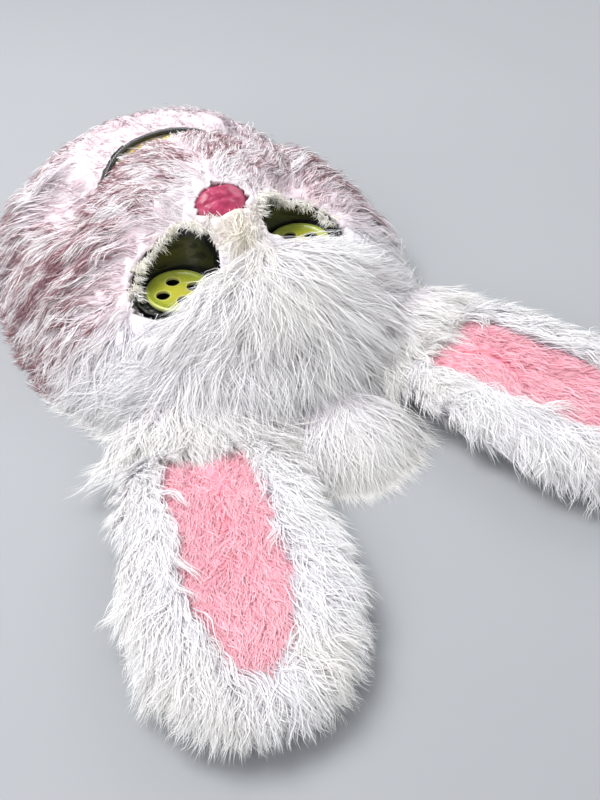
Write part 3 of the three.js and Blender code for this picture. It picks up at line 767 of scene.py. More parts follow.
# Eye sockets: glossy black vinyl pans, vacuum formed over the button seats, which leaves
# fine wrinkles in their walls. The wearer looks out through the holes of both.
socket_floor = 0.057
socket_floor_radius = 0.026
socket_radius = 0.036
socket_wall = 0.0014
button_radius = (button_high.x - button_low.x) / 2
button_base = button_low.z
button_thickness = button_high.z - button_low.z
button_turn = radians(37)
hole_radius = 0.00475
hole_pitch = 0.0155
pin_sides = 40


def hole_centres(side):
    for number in range(4):
        angle = button_turn * -side + pi / 4 + number * pi / 2
        reach = hole_pitch / sqrt(2)
        yield side * eye_half_spacing + reach * cos(angle), eye_line + reach * sin(angle)


def mesh_from(name, points, faces):
    mesh = bpy.data.meshes.new(name)
    mesh.from_pydata(np.asarray(points, float).tolist(), [], np.asarray(faces).tolist())
    mesh.update()
    return smoothed(mesh)


def settled(blank):
    """The mesh that a blank's modifiers make. The blank itself is removed."""
    graph = bpy.context.evaluated_depsgraph_get()
    mesh = bpy.data.meshes.new_from_object(blank.evaluated_get(graph), depsgraph=graph)
    bpy.data.objects.remove(blank)
    return smoothed(mesh)


def drilled(mesh, centres, radius, low, high, edge=0.0):
    """The mesh with round holes along Z, and its sharp edges rounded by edge."""
    body = added("blank", mesh)
    around = [2 * pi * i / pin_sides for i in range(pin_sides)]
    pins = []
    for x, y in centres:
        ring = [(x + radius * cos(a), y + radius * sin(a), z) for z in (low, high) for a in around]
        after = [(i + 1) % pin_sides for i in range(pin_sides)]
        walls = [(i, j, pin_sides + j, pin_sides + i) for i, j in enumerate(after)]
        ends = [tuple(range(pin_sides - 1, -1, -1)), tuple(range(pin_sides, 2 * pin_sides))]
        pin_mesh = bpy.data.meshes.new("drill")
        pin_mesh.from_pydata(ring, [], walls + ends)
        pins.append(added("drill", pin_mesh))
        cut = body.modifiers.new("cut", "BOOLEAN")
        cut.object = pins[-1]
        cut.solver = "EXACT"
    if edge:
        rounded = body.modifiers.new("edge", "BEVEL")
        rounded.width = edge
        rounded.segments = 3
        rounded.limit_method = "ANGLE"
        rounded.angle_limit = radians(40)
    result = settled(body)
    for pin in pins:
        bpy.data.objects.remove(pin)
    return result


socket_vinyl, tree, place = new_material("socket_vinyl")
grain = tree.noise(place, 420, 3, 0.6) + tree.noise(place, 90, 2) * 1.5
glow = tree.noise(place, 60, 2).step(0.5, 0.8)
finish_material(
    socket_vinyl, tree, Base_Color=glow.mix((0.006, 0.007, 0.008), (0.012, 0.020, 0.010)),
    Roughness=tree.noise(place, 160, 2) * 0.22 + 0.10, Normal=grain.bump(0.45, 0.0008),
    Coat_Weight=0.6, Coat_Roughness=0.08,
)

button_plastic, tree, place = new_material("button_plastic")
flatten = {"operation": "MULTIPLY"}
flat_place = tree.node("ShaderNodeVectorMath", flatten, {0: place, 1: (1, 1, 0)})


def distance_to(tree, place, x, y):
    measure = {"operation": "DISTANCE"}
    return tree.node("ShaderNodeVectorMath", measure, {0: place, 1: (x, y, 0)}, output=1)


def nearest(tree, values):
    least = values[0]
    for value in values[1:]:
        least = tree.math("MINIMUM", least, value)
    return least


middles = [(side * eye_half_spacing, eye_line) for side, _ in sides]
from_centre = nearest(tree, [distance_to(tree, flat_place, x, y) for x, y in middles])
holes = [place for side, _ in sides for place in hole_centres(side)]
from_hole = nearest(tree, [distance_to(tree, flat_place, x, y) for x, y in holes])
lime = from_centre.step(0.004, button_radius).mix((0.46, 0.45, 0.035), (0.30, 0.36, 0.03))
lime = (tree.noise(place, 110, 3).step(0.4, 0.75) * 0.4).mix(lime, (0.55, 0.52, 0.10))
pale_rim = 1 - from_hole.step(hole_radius + 0.0002, hole_radius + 0.0013)
lime = (pale_rim * 0.55).mix(lime, (0.66, 0.66, 0.25))
# Painted highlight: the button's raised outer rim is lightened as if catching the light.
rim_highlight = from_centre.step(button_radius - 0.0022, button_radius - 0.0008)
lime = (rim_highlight * 0.5).mix(lime, (0.62, 0.62, 0.22))
pit = tree.pits(place, 260.0, 0.05, 0.16)
lime = (pit * tree.noise(place, 70).step(0.5, 0.7)).mix(lime, (0.16, 0.12, 0.02))
finish_material(
    button_plastic, tree, Base_Color=lime, Roughness=tree.noise(place, 200, 2) * 0.2 + 0.20,
    Normal=tree.noise(place, 300, 2).bump(0.15, 0.0003), Coat_Weight=0.35, Coat_Roughness=0.12,
    Subsurface_Weight=0.15, Subsurface_Scale=0.004,
)

eye_gap = 0.0004
lining_rise = 0.0060
button_profile = [
    (0.0, button_thickness - 0.0014), (0.62, button_thickness - 0.0016),
    (0.78, button_thickness - 0.0014), (0.85, button_thickness - 0.0006),
    (0.90, button_thickness), (0.95, button_thickness - 0.0001),
    (0.985, button_thickness - 0.0006), (1.0, button_thickness - 0.0014),
    (0.99, 0.0008), (0.96, 0.0001), (0.90, 0.0), (0.0, 0.0),
]
for side, word in sides:
    middle = side * eye_half_spacing
    turns, outs = polar(120, 40, 0.002)
    outs = 1 - (1 - outs) ** 1.15
    x = middle + (eye_hole[0] - eye_gap) * outs * np.cos(turns)
    y = eye_line + (eye_hole[1] - eye_gap) * outs * np.sin(turns)
    distance = np.hypot(x - middle, y - eye_line)
    lining = ease((outs - 0.84) / 0.16) ** 1.3
    z = socket_floor * (1 - lining) + (face_height(x, y) + lining_rise) * lining
    wall = ease((distance - button_radius) / 0.004)
    spot = np.stack([x, y, z], -1)
    z = z + wall * (wavy(spot, 0.007, 0.0007, 3) + 0.6 * np.abs(wavy(spot, 0.004, 0.0007, 4)))
    pan = np.stack([x, y, z], -1)
    closed_points, closed_faces = slab(pan, pan - np.array([0, 0, socket_wall]), wrap=True)
    blank = mesh_from("socket", closed_points, closed_faces)
    above, below = socket_floor + 0.003, socket_floor - 0.007
    pan_mesh = drilled(blank, hole_centres(side), hole_radius, below, above)
    put(f"socket_{word}", pan_mesh, socket_vinyl, "head", [f"eye_socket_{word}"])

    steps = 96
    points = [(middle, eye_line, button_base + button_profile[0][1])]
    for share, height in button_profile[1:-1]:
        for i in range(steps):
            x = middle + share * button_radius * cos(2 * pi * i / steps)
            y = eye_line + share * button_radius * sin(2 * pi * i / steps)
            points.append((x, y, button_base + height))
    last = len(points)
    points.append((middle, eye_line, button_base))
    faces = [(0, 1 + i, 1 + (i + 1) % steps) for i in range(steps)]
    for start in range(1, last - steps, steps):
        for i in range(steps):
            j = (i + 1) % steps
            faces.append((start + i, start + steps + i, start + steps + j, start + j))
    start = last - steps
    faces += [(start + i, last, start + (i + 1) % steps) for i in range(steps)]
    blank = bpy.data.meshes.new("button")
    blank.from_pydata(points, [], faces)
    below, above = button_base - 0.02, button_base + 0.02
    button = drilled(blank, hole_centres(side), hole_radius, below, above, edge=0.0004)
    put(f"button_{word}", button, button_plastic, "head", [f"button_eye_{word}"])


# Nose: a moulded vinyl cap, glued on. A soft crease divides its upper and lower facets, and
# its ragged edge is painted darker, as shade where the cap slopes down into the fur.
nose_vinyl, tree, place = new_material("nose_vinyl")
tone = tree.noise(place, 130, 4, 0.6)
skin = tone.step(0.3, 0.7).mix((0.33, 0.018, 0.070), (0.52, 0.045, 0.135))
speck = tree.pits(place, 330.0, 0.04, 0.15)
skin = (speck * tree.noise(place, 90).step(0.5, 0.65)).mix(skin, (0.08, 0.012, 0.02))
# Painted shade: the edge attribute darkens the cap's sloping rim.
edge = tree.attribute("edge")
skin = (edge * 0.75).mix(skin, (0.12, 0.015, 0.03))
finish_material(
    nose_vinyl, tree, Base_Color=skin, Roughness=tone * 0.2 + 0.28,
    Normal=tree.noise(place, 240, 3).bump(0.35, 0.0008), Coat_Weight=0.25, Coat_Roughness=0.2,
)
nose_rise = 0.0062
nose_seat = 0.0008
crease_depth = 0.0011
turns, outs = polar(96, 30, 0.003)
squash_up = 1 + 0.10 * np.sin(turns)
x = nose_half[0] * outs * signed_power(np.cos(turns), 0.9) * squash_up
y = nose_centre + nose_half[1] * outs * signed_power(np.sin(turns), 0.95)
down = (y - nose_centre) / nose_half[1] + 0.15 - 0.25 * (x / nose_half[0]) ** 2
crease = np.exp(-((down / 0.16) ** 2))
top = face_height(x, y) + 0.0010 + nose_rise * np.sqrt(np.maximum(0, 1.06 - outs**2.4))
top = top - crease_depth * crease * (1 - outs)
spot = np.stack([x, y, top], -1)
top = top + wavy(spot, 0.012, 0.0004, 6) + wavy(spot, 0.004, 0.00012, 7)
low = face_height(x, y) + nose_seat
points, faces = slab(np.stack([x, y, top], -1), np.stack([x, y, low], -1), wrap=True)
nose_mesh = mesh_from("nose", points, faces)
edge_shade_layer = nose_mesh.attributes.new("edge", "FLOAT", "POINT")
# Painted shade: 1 near the cap's rim, with a ragged border, and on its hidden underside.
ragged_edge_shade = ease((outs - 0.86 + wavy(spot, 0.003, 0.05, 8)) / 0.12)
values = np.concatenate([ragged_edge_shade.ravel(), np.ones(ragged_edge_shade.size)])
edge_shade_layer.data.foreach_set("value", values.astype(np.float32))
put("nose_cap", nose_mesh, nose_vinyl, "head", ["nose"])


# Mouth: a dark speckled plate set back in its slot, with a row of moulded teeth and a
# black corded bead sewn along its chin side.
mouth_plastic, tree, place = new_material("mouth_plastic")
blotch = tree.noise(place, 75, 4, 0.65)
plate_tone = blotch.step(0.35, 0.62).mix((0.020, 0.032, 0.014), (0.16, 0.13, 0.035))
fleck = tree.noise(place, 380, 2, 0.6).step(0.56, 0.64)
plate_tone = (fleck * 0.85).mix(plate_tone, (0.035, 0.012, 0.006))
finish_material(
    mouth_plastic, tree, Base_Color=plate_tone, Roughness=blotch * 0.25 + 0.15,
    Normal=tree.noise(place, 260, 3).bump(0.4, 0.0006), Coat_Weight=0.5, Coat_Roughness=0.1,
)
tooth_plastic, tree, place = new_material("tooth_plastic")
stained = tree.noise(place, 150, 4, 0.6)
tooth_tone = stained.step(0.35, 0.7).mix((0.62, 0.47, 0.05), (0.35, 0.24, 0.045))
pit = tree.pits(place, 220.0, 0.06, 0.2)
tooth_tone = (pit * tree.noise(place, 60).step(0.48, 0.6)).mix(tooth_tone, (0.45, 0.06, 0.015))
finish_material(
    tooth_plastic, tree, Base_Color=tooth_tone, Roughness=stained * 0.2 + 0.2,
    Normal=stained.bump(0.3, 0.0004), Coat_Weight=0.4, Coat_Roughness=0.12,
)
lip_vinyl, tree, place = new_material("lip_vinyl")
finish_material(
    lip_vinyl, tree,
    Base_Color=tree.noise(place, 300).mix((0.006, 0.006, 0.007), (0.02, 0.02, 0.022)),
    Roughness=tree.noise(place, 500, 2) * 0.2 + 0.12,
    Normal=tree.noise(place, 700, 2).bump(0.3, 0.0003), Coat_Weight=0.8, Coat_Roughness=0.1,
)
plate_depth = 0.0028
plate_wall = 0.0016
plate_inset = 0.0006
tooth_count = 9
tooth_steps = 22
tooth_height = 0.0032
teeth_inset = 0.004


def mouth_grid(columns, rows, inset):
    """A grid of places over the mouth slot, drawn in by inset, with the share down it."""
    across = np.linspace(-1, 1, columns)[:, None] * (mouth_half_width - 1.5 * inset)
    down = np.linspace(0, 1, rows)[None, :]
    low, high = mouth_edges(across, inset)
    return across + 0 * down, low + (high - low) * down, down + 0 * across


x, y, down = mouth_grid(140, 18, plate_inset)
z = face_height(x, y) - plate_depth
spot = np.stack([x, y, z], -1)
plate_top = np.stack([x, y, z + wavy(spot, 0.008, 0.0004, 9)], -1)
plate_low = np.stack([x, y, z - plate_wall], -1)
mesh = mesh_from("mouth", *slab(plate_top, plate_low, wrap=False))
put("mouth_backing", mesh, mouth_plastic, "head", ["mouth_plate"])
tooth_columns = tooth_count * tooth_steps + 1
x, y, down = mouth_grid(tooth_columns, 16, teeth_inset)
share = np.linspace(0, 1, tooth_columns)[:, None]
tooth = np.abs(np.sin(share * tooth_count * pi)) ** 0.45
crown = np.sin(np.clip(down, 0.02, 0.98) * pi) ** 0.5
z = face_height(x, y) - plate_depth + 0.0006
spot = np.stack([x, y, z], -1)
height = 0.0007 + tooth_height * tooth * crown + wavy(spot, 0.005, 0.00015, 10)
mesh = mesh_from("teeth", *slab(np.stack([x, y, z + height], -1), spot, wrap=False))
put("tooth_row", mesh, tooth_plastic, "head", ["teeth"])

lip_radius = 0.0022
rib_pitch = 0.0022
lip_steps, lip_sides = 420, 16
x = np.linspace(-1, 1, lip_steps) * (mouth_half_width - 0.001)
y = mouth_edges(x)[1]
line = np.stack([x, y, face_height(x, y) + lip_radius + 0.0003], -1)
run = np.concatenate([[0], np.cumsum(np.linalg.norm(np.diff(line, axis=0), axis=1))])
tangent = unit(np.gradient(line, axis=0))
across = unit(np.cross(tangent, [0, 0, 1.0]))
rise_way = np.cross(across, tangent)
angle = np.linspace(0, 2 * pi, lip_sides, endpoint=False)[None, :]
twist = np.sin(2 * pi * run[:, None] / rib_pitch + angle)
ends = np.sqrt(np.clip(np.minimum(run, run[-1] - run) / lip_radius, 0.02, 1))[:, None]
radius = lip_radius * ends * (0.93 + 0.07 * twist)
ring = line[:, None] + radius[..., None] * (
    across[:, None] * np.cos(angle)[..., None] + rise_way[:, None] * np.sin(angle)[..., None]
)
index = np.arange(lip_steps * lip_sides).reshape(lip_steps, lip_sides)
after = np.roll(index, -1, 1)
faces = np.stack([index[:-1], index[1:], after[1:], after[:-1]], -1).reshape(-1, 4).tolist()
faces += [index[0].tolist(), index[-1][::-1].tolist()]
lip_mesh = bpy.data.meshes.new("lip")
lip_mesh.from_pydata(ring.reshape(-1, 3).tolist(), [], faces)
put("lip_cord", smoothed(lip_mesh), lip_vinyl, "head", ["lower_lip_bead"])


# Ears: two cloths of long white fur sewn round a wadded core and a steel wire loop, with a
# panel of shorter wavy pink fur let into the front. Each is sewn to a webbing tab that
# folds at the crown, and a tuft hides its root.
ear_length = 0.200
ear_half_width = 0.067
ear_root_half_width = 0.057
ear_root_power = 0.35
ear_tip_power = 0.85
ear_middle = 0.43 * ear_length
ear_seam = 0.019
ear_core_height = 0.031
ear_core_edge = 0.85
root_tuft_half = 0.044
pink_half_width = 0.032
pink_length = 0.160
# Its first colour is painted shade deep in the pile, and its last a painted highlight on the tips.
pink_fur = fur_material(
    "pink_fur", (0.92, 0.33, 0.43), (0.98, 0.47, 0.56), (1.0, 0.68, 0.74), cream=(0.55, 0.16, 0.12)
)


def ear_point(turn, share):
    """Across and along the ear from its root, for a turn of 0 to 1 and a share outwards."""
    angle = turn * 2 * pi
    along = ear_length / 2 * (1 - np.sin(angle))
    flare = ear_half_width - ear_root_half_width
    half = ear_root_half_width + flare * ease(2 * along / ear_length)
    power = np.where(np.sin(angle) > 0, ear_root_power, ear_tip_power)
    across = half * signed_power(np.cos(angle), power)
    return across * share, ear_middle + (along - ear_middle) * share


def pink_share(turn):
    angle = turn * 2 * pi
    end = np.where(np.sin(angle) > 0, ear_middle, ear_length - ear_middle)
    across = np.cos(angle) * ear_half_width / pink_half_width
    return 1 / np.hypot(across, np.sin(angle) * end / (pink_length / 2))


def core_edge(turn):
    """Where the cloths are sewn together: near the outline at the root, further in elsewhere."""
    return ear_core_edge + 0.12 * ease((np.sin(turn * 2 * pi) - 0.3) / 0.5)


def core_top(share):
    return ear_seam + (ear_core_height - ear_seam) * np.sqrt(np.maximum(0, 1 - share**4))


def core_bottom(share):
    return 0.0012 + (ear_seam - 0.002) * share**6


def ear_sample(rng, count, low, high):
    """Random (turn, share) places spread evenly over the ear between two shares."""
    turn = rng.uniform(0, 1, count * 8)
    share = np.sqrt(rng.uniform(0, 1, count * 8))
    bottom = low(turn)
    good = (share >= bottom) & (share <= high(turn))
    turn, share = turn[good], share[good]
    step = 0.001
    a = np.stack(ear_point(turn + step, share), -1) - np.stack(ear_point(turn - step, share), -1)
    b = np.stack(ear_point(turn, share + step), -1) - np.stack(ear_point(turn, share - step), -1)
    weight = np.abs(a[:, 0] * b[:, 1] - a[:, 1] * b[:, 0]) / share
    chosen = rng.choice(len(turn), min(count, len(turn)), replace=False, p=weight / weight.sum())
    return turn[chosen], share[chosen]


wadding, tree, place = new_material("batting")
fluff = tree.noise(place, 160, 4, 0.7)
finish_material(
    wadding, tree, Base_Color=fluff.mix((0.80, 0.79, 0.77), (0.90, 0.89, 0.88)),
    Roughness=fluff * 0.1 + 0.88, Normal=fluff.bump(0.7, 0.0015), Sheen_Weight=0.3,
)
wire_steel, tree, place = new_material("wire_steel")
wear = tree.noise(place, 260, 3)
finish_material(
    wire_steel, tree, Base_Color=wear.mix((0.42, 0.42, 0.43), (0.60, 0.60, 0.60)),
    Metallic=1.0, Roughness=wear * 0.2 + 0.28, Normal=wear.bump(0.1, 0.0002),
)
webbing, tree, place = new_material("elastic_webbing")
cord = {"wave_type": "BANDS", "bands_direction": "X"}
ribs = tree.node("ShaderNodeTexWave", cord, {"Vector": place, "Scale": 160.0, "Distortion": 0.4}, 1)
threads = tree.noise(place, 1400, 2) * 0.5 + ribs
finish_material(
    webbing, tree, Base_Color=threads.step(0.3, 1.2).mix((0.55, 0.54, 0.53), (0.80, 0.79, 0.78)),
    Roughness=tree.noise(place, 300) * 0.15 + 0.75, Normal=threads.bump(0.5, 0.0004),
    Sheen_Weight=0.2,
)


lump_spacing = 9


def softened(node, cell, rounds, lumps):
    """The mesh of a soft CAD solid, remeshed, rounded and made slightly uneven."""
    source = frame["nodes"][node]
    blank = added("blank", source.data.copy())
    blank.data.transform(source.matrix_world)
    remesh = blank.modifiers.new("remesh", "REMESH")
    remesh.mode = "VOXEL"
    remesh.voxel_size = cell
    smoothing = blank.modifiers.new("smooth", "SMOOTH")
    smoothing.iterations = rounds
    mesh = settled(blank)
    points, normals = np.empty((2, len(mesh.vertices) * 3))
    mesh.vertices.foreach_get("co", points)
    mesh.vertices.foreach_get("normal", normals)
    points, normals = points.reshape(-1, 3), normals.reshape(-1, 3)
    points = points + normals * wavy(points, lump_spacing * cell, lumps, seed=61)[:, None]
    mesh.vertices.foreach_set("co", points.ravel())
    mesh.materials.clear()
    return mesh


# along 0.14 gives the cloths' undercoat nearly the darker root colour: painted shade between the
# locks.
cloth_tints = {"along": 0.14, "stain": 0.0, "cream": 0.0, "fibre": 0.5}
nodes = frame["nodes"]
for joint in frame["joints"][:2]:
    word = joint["child"].split("_")[1]
    hinge = Vector(joint["pos_m"])
    axis = Vector(joint["axis"])
    reach = Vector((0, 0, 1)).cross(axis)
    body = joint["child"]
    rng = np.random.default_rng(21 if word == "left" else 22)

    def world(across, along, z):
        """Points of this ear, from its own across and along, at the height z."""
        flat = np.outer(np.ravel(across), axis[:]) + np.outer(np.ravel(along), reach[:])
        points = flat + np.array([hinge.x, hinge.y, 0])
        points[:, 2] = np.ravel(z + 0 * across)
        return points.reshape(*np.shape(across), 3)

    def direction(across, along, z):
        return np.stack([across, along, z], -1) @ np.array([axis, reach, (0, 0, 1.0)])

    def bend(piece):
        """Frees the piece from any parent and bakes its place into its mesh."""
        piece.parent = None
        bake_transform(piece)

    def ear_cloth(name, node, material, slot, low_share, high_share, lift_top, lift_low, count,
                  length, rise, outwards, **manner):
        """One cloth of the ear with its pile. Shares bound it, and lifts are its two sides."""
        turns = np.linspace(0, 1, 150, endpoint=False)[:, None]
        v = np.linspace(0, 1, 34)[None, :]
        low, high = low_share(turns), high_share(turns)
        share = low + (high - low) * v
        across, along = ear_point(turns + 0 * v, share)
        part = np.minimum(1, share / core_edge(turns))
        top = world(across, along, lift_top(part))
        top[..., 2] += wavy(top, 0.011, 0.0013, seed=12) * (1 - v**4)
        top[..., 2] = np.maximum(top[..., 2], 0.001)
        bottom = world(across, along, lift_low(part))
        points, faces = slab(top, bottom, wrap=True)
        turn, share = ear_sample(rng, int(count * density), low_share, high_share)
        across, along = ear_point(turn, share)
        part = np.minimum(1, share / core_edge(turn))
        root = world(across, along, lift_top(part))
        step = 0.01
        slope = (lift_top(np.minimum(1, part + step)) - lift_top(part)) / step
        further = np.stack(ear_point(turn, share + step), -1) - np.stack([across, along], -1)
        steep = np.clip(-slope / np.linalg.norm(further, axis=-1) * step, -4, 4)
        z_way = -1.0 if node.startswith("ear_back") else 1.0
        slant = unit(further) * (steep * z_way)[:, None]
        normal = unit(direction(slant[:, 0], slant[:, 1], 0 * share + z_way))
        sway = 0.30 * rng.normal(0, 1, len(share)) + wavy(root, 0.05, 0.35, seed=33)
        nap = direction(outwards * across / ear_half_width + sway, np.ones_like(across), 0 * across)
        size = np.broadcast_to(length, len(share)) * (0.85 + 0.2 * ease((along - 0.02) / 0.10))
        size = size * (1 - 0.30 * ease((share - 0.55) / 0.3))
        size = np.where(rng.uniform(0, 1, len(share)) < 0.5, size, 0.8 * size)
        near_root = 1 - ease(along / 0.03)
        fibres, lock = grow(rng, root, normal, nap, size, rise * (1 - 0.5 * near_root), **manner)
        spots = wavy(root, 0.05, 0.5, seed=14)
        worn = np.exp(-(((along - 0.156) / 0.005) ** 2 + ((across + 0.004) / 0.007) ** 2))
        tone = worn if slot == "pink_fur" else np.clip(0.25 * spots, 0, 0.3)
        tints = {"stain": np.zeros(len(share)), "cream": tone}
        mesh = fur_mesh(name, rng, fibres, lock, normal, tints, (points, faces, cloth_tints))
        bend(put(name, mesh, material, None, [node]))

    ear_cloth(
        f"ear_back_{word}", f"ear_back_fur_{word}", white_fur, "white_fur",
        lambda t: 0.01 + 0 * t, core_edge,
        core_bottom, lambda s: 0.012 + (ear_seam - 0.0125) * s**3, 1150, 0.028, 0.12, 0.7,
        per_lock=10, droop=0.0, gather=0.7,
    )
    ear_cloth(
        f"ear_front_{word}", f"ear_front_fur_{word}", white_fur, "white_fur",
        pink_share, core_edge,
        core_top, lambda s: core_top(s) - 0.0045 * (1 - 0.9 * s**6), 1500, 0.040, 0.55, 0.70,
        per_lock=15, curl=0.5, waves=1.3, droop=0.45, gather=0.9,
    )
    ear_cloth(
        f"ear_pink_{word}", f"ear_pink_panel_{word}", pink_fur, "pink_fur",
        lambda t: 0.01 + 0 * t, lambda t: pink_share(t) - 0.006,
        lambda s: core_top(s) - 0.0035, lambda s: core_top(s) - 0.0075, 1100, 0.025, 0.42, 0.25,
        per_lock=14, curl=0.6, waves=1.7, droop=0.3, gather=0.75,
    )
    core = f"ear_filling_{word}"
    filling = softened(core, 0.0035, 5, 0.0012)
    put(f"ear_wadding_{word}", filling, wadding, body, [core])
    nodes[f"ear_wire_{word}"].data.materials[0] = wire_steel
    nodes[f"ear_root_tab_{word}"].data.materials[0] = webbing

    count = int(360 * density)
    across = rng.uniform(-root_tuft_half, root_tuft_half, count)
    along = rng.uniform(-0.030, -0.001, count)
    crown = 1 - 0.5 * (across / root_tuft_half) ** 2
    roots = world(across, along, 0.006 + crown * (0.017 - 0.35 * along))
    sway = across / 0.07 + 0.25 * rng.normal(0, 1, count)
    nap = direction(sway, np.ones(count), 0 * across)
    bend(tuft(
        rng, f"ear_root_tuft_{word}", roots, nap, 0.25 * rng.uniform(0, 1, count),
        0.026 + 0.026 * rng.uniform(0, 1, count) ** 2, 0.05,
        per_lock=13, curl=0.45, waves=1.2, spread=0.0026, gather=0.88, droop=0.18,
    ))


# Crown fringe: a tongue of the longest fur, sewn into the crown seam between the ears. It
# hangs over the rim on a thin backing cloth, below loose locks and a few stray hairs.
fringe_low, fringe_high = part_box("crown_fringe_fur")
fringe_half = (fringe_high.x - fringe_low.x) / 2
fringe_length = fringe_high.y - fringe_low.y
fringe_backing = 0.0018
rng = np.random.default_rng(41)


def fringe_surface(u, v):
    """A point of the tongue, from side to side (-1 to 1) and from root to tip (0 to 1)."""
    half = fringe_half * 0.86 * (1 - 0.75 * ease(v) ** 1.5)
    x = half * u - 0.006 * v
    y = fringe_high.y - 0.004 - (fringe_length - 0.022) * v
    z = 0.024 - 0.019 * v**1.2 - 0.008 * u * u * (1 - 0.5 * v)
    return np.stack([x, y, np.maximum(z, 0.003)], -1)


u, v = np.meshgrid(np.linspace(-1, 1, 26), np.linspace(0, 1, 30), indexing="ij")
cloth = fringe_surface(u, v)
cloth = slab(cloth, cloth - np.array([0, 0, fringe_backing]), wrap=False)
count = int(700 * density)
u = rng.uniform(-1, 1, count)
v = rng.uniform(0, 1, count) ** 1.2 * 0.90
roots = fringe_surface(u, v)
nap = flatwise(0.35 * u * (1 - 1.6 * v) + 0.32 * rng.normal(0, 1, count), -np.ones(count))
outward = unit(np.stack([0.3 * u, -0.2 + 0 * u, 1 + 0 * u], -1))
length = (0.066 - 0.020 * v) * rng.uniform(0.85, 1.1, count)
fibres, lock = grow(rng, roots, outward, nap, length, 0.12, per_lock=13, spread=0.0028, curl=0.40,
                    waves=1.2, gather=0.9, droop=0.55)
tints = {"stain": np.zeros(count), "cream": 0.2 * rng.uniform(0, 1, count)}
mesh = fur_mesh("crown_fringe", rng, fibres, lock, outward, tints, (*cloth, cloth_tints))
put("crown_fringe", mesh, white_fur, "head", ["crown_fringe_fur"])

count = int(520 * density)
x = 0.062 * signed_power(rng.uniform(-1, 1, count), 1.4)
y = eye_line - 0.079 + 0.026 * rng.uniform(0, 1, count) + 4 * x * x
nap = flatwise(x / 0.07 + rng.normal(0, 0.3, count), -1 + 0 * x)
tuft(rng, "crown_locks", on_face(x, y, 0.010), nap, cream_at(x, y) * rng.uniform(0, 1, count),
     0.046 + 0.030 * rng.uniform(0, 1, count), 0.10, per_lock=14, curl=0.42, waves=1.1,
     spread=0.0028, gather=0.9, droop=0.55, tip_rise=-0.25)

count = 26
x = rng.normal(0, 0.055, count)
y = eye_line - 0.03 - 0.055 * rng.uniform(0, 1, count)
nap = flatwise(x / 0.04 + rng.normal(0, 0.6, count), -1 + 0 * x)
tuft(rng, "stray_hairs", on_face(x, y, 0.014), nap, np.zeros(count), 0.052, 0.5, per_lock=2,
     curl=0.9, waves=0.8, spread=0.0010, gather=0.2, droop=0.8)


# Inside of the face: the moulded shell itself, with its eye openings and mouth slot. The
# wearer's side is plain and slightly ribbed.
shell_wall = 0.0024
flange_thickness = 0.002


def shell_side(disc, lift):
    """One side of the shell, flattened into a seat behind each eye."""
    points = face_point(disc, lift)
    bare = face_point(disc, 0.0)
    distance = np.hypot(np.abs(bare[..., 0]) - eye_half_spacing, bare[..., 1] - eye_line)
    seat = ease((socket_radius - distance) / (socket_radius - socket_floor_radius))
    points[..., 2] = points[..., 2] * (1 - seat) + (socket_floor + lift) * seat
    return points


turns, outs = polar(220, 90, 0.003)
disc = np.stack([np.cos(turns) * outs, np.sin(turns) * outs], -1)
upper, lower = shell_side(disc, 0.0), shell_side(disc, -shell_wall)
lower[..., 2] = np.maximum(lower[..., 2], 0.0)
rim_out = unit(upper[:, -1:] * [1, 1, 0] - np.array([0, face_centre, 0]))
steps = np.array([0.0, 0.003, flange_width])[None, :, None]
flange_top = upper[:, -1:] * [1, 1, 0] + rim_out * steps + [0, 0, flange_thickness]
upper = np.concatenate([upper[:, :-1], flange_top], 1)
lower = np.concatenate([lower[:, :-1], flange_top - [0, 0, flange_thickness]], 1)
shell_points, shell_faces = slab(upper, lower, wrap=True)
middle = shell_points[shell_faces].mean(1)
low, high = lips(middle[:, 0])
slot = (np.abs(middle[:, 0]) < mouth_half_width) & (middle[:, 1] > low) & (middle[:, 1] < high)
keep = ~slot & (eye_reach(middle[:, 0], middle[:, 1]) > 1.0)
points, faces, _ = keep_faces(shell_points, shell_faces, keep, shell_points)
put("moulded_shell", mesh_from("shell", points, faces), shell_material, "head",
    ["face_shell"])


# Inside fittings: foam pads glued under the brow, chin and cheeks, a tape that covers the
# rim, and an elastic strap that two riveted anchors hold.
foam, tree, place = new_material("foam")
cells = tree.noise(place, 700, 2) + tree.noise(place, 180, 3) * 0.6
finish_material(
    foam, tree, Base_Color=tree.noise(place, 40).mix((0.50, 0.47, 0.42), (0.60, 0.57, 0.52)),
    Roughness=cells * 0.1 + 0.85, Normal=cells.bump(0.5, 0.0006),
)
for name in ("brow_pad", "chin_pad", "cheek_pad_left", "cheek_pad_right"):
    mesh = softened(name, 0.0018, 8, 0.0003)
    put(name + "_foam", mesh, foam, "head", [name])

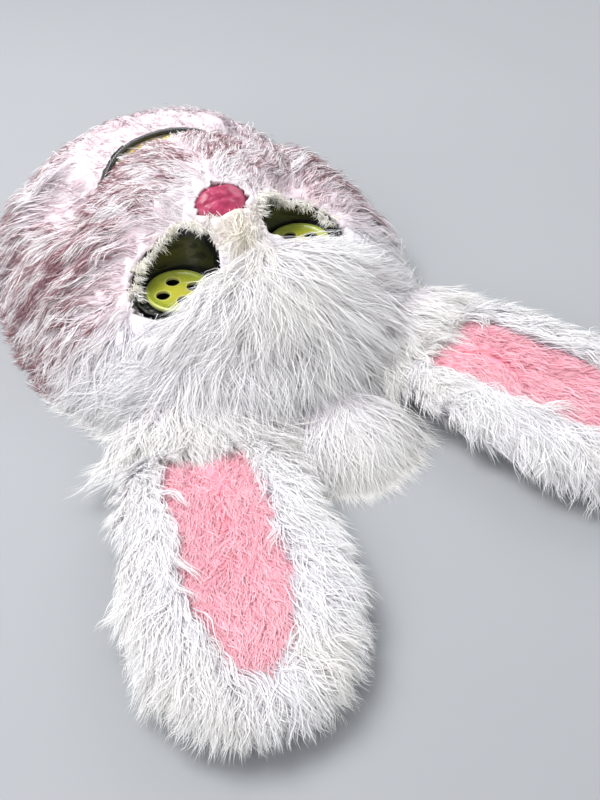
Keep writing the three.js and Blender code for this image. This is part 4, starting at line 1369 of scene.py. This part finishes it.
strap_low, strap_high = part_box("elastic_strap")
long_way = np.linspace(strap_low.x, strap_high.x, 400)[:, None]
cross_way = np.linspace(-1, 1, 30)[None, :]
strap_half = (strap_high.y - strap_low.y) / 2
strap_middle = (strap_low + strap_high) / 2
y = strap_middle.y + strap_half * cross_way * 0.99 + 0 * long_way
half_thick = (strap_high.z - strap_low.z) / 2 * (0.72 + 0.25 * np.abs(cross_way) ** 4)
half_thick = half_thick * (1 + 0.04 * np.sin(long_way * 2 * pi / 0.0016))
x = long_way + 0 * cross_way
band = np.stack([x, y, strap_middle.z + half_thick], -1)
under_band = np.stack([x, y, strap_middle.z - half_thick], -1)
mesh = mesh_from("strap", *slab(band, under_band, wrap=False))
put("woven_strap", mesh, webbing, "head", ["elastic_strap"])

binding_tape, tree, place = new_material("binding_tape")
weave = tree.noise(place, 900, 2)
finish_material(
    binding_tape, tree, Base_Color=weave.mix((0.62, 0.60, 0.58), (0.74, 0.72, 0.70)),
    Roughness=weave * 0.15 + 0.75, Normal=weave.bump(0.4, 0.0003), Sheen_Weight=0.15,
)
tape_thickness = 0.0012
tape_width = 0.006
turns = np.linspace(0, 2 * pi, 260, endpoint=False)
rim = face_point(np.stack([np.cos(turns), np.sin(turns)], -1), 0.0)[:, None] * [1, 1, 0]
rim_way = unit(rim - np.array([0, face_centre, 0]))
heights = np.linspace(0, 1, 8)[None, :, None]
tape_outer = rim - rim_way * (0.0028 + 0.004 * heights)
tape_outer = tape_outer + np.array([0, 0, 1.0]) * (0.002 + tape_width * heights)
puckers = wavy(tape_outer, 0.006, 0.00012, 51)[..., None] * rim_way
tape_inner = tape_outer - rim_way * tape_thickness + puckers
mesh = mesh_from("tape", *slab(tape_inner, tape_outer, wrap=True))
put("rim_tape", mesh, binding_tape, "head", ["edge_binding"])

strap_plastic, tree, place = new_material("strap_plastic")
finish_material(
    strap_plastic, tree,
    Base_Color=tree.noise(place, 200).mix((0.018, 0.018, 0.020), (0.03, 0.03, 0.032)),
    Roughness=tree.noise(place, 400, 2) * 0.2 + 0.35,
    Normal=tree.noise(place, 900, 2).bump(0.15, 0.0002),
)
for _, word in sides:
    nodes[f"strap_anchor_{word}"].data.materials[0] = strap_plastic
    nodes[f"strap_rivet_{word}"].data.materials[0] = wire_steel
nodes["strap_slider"].data.materials[0] = strap_plastic
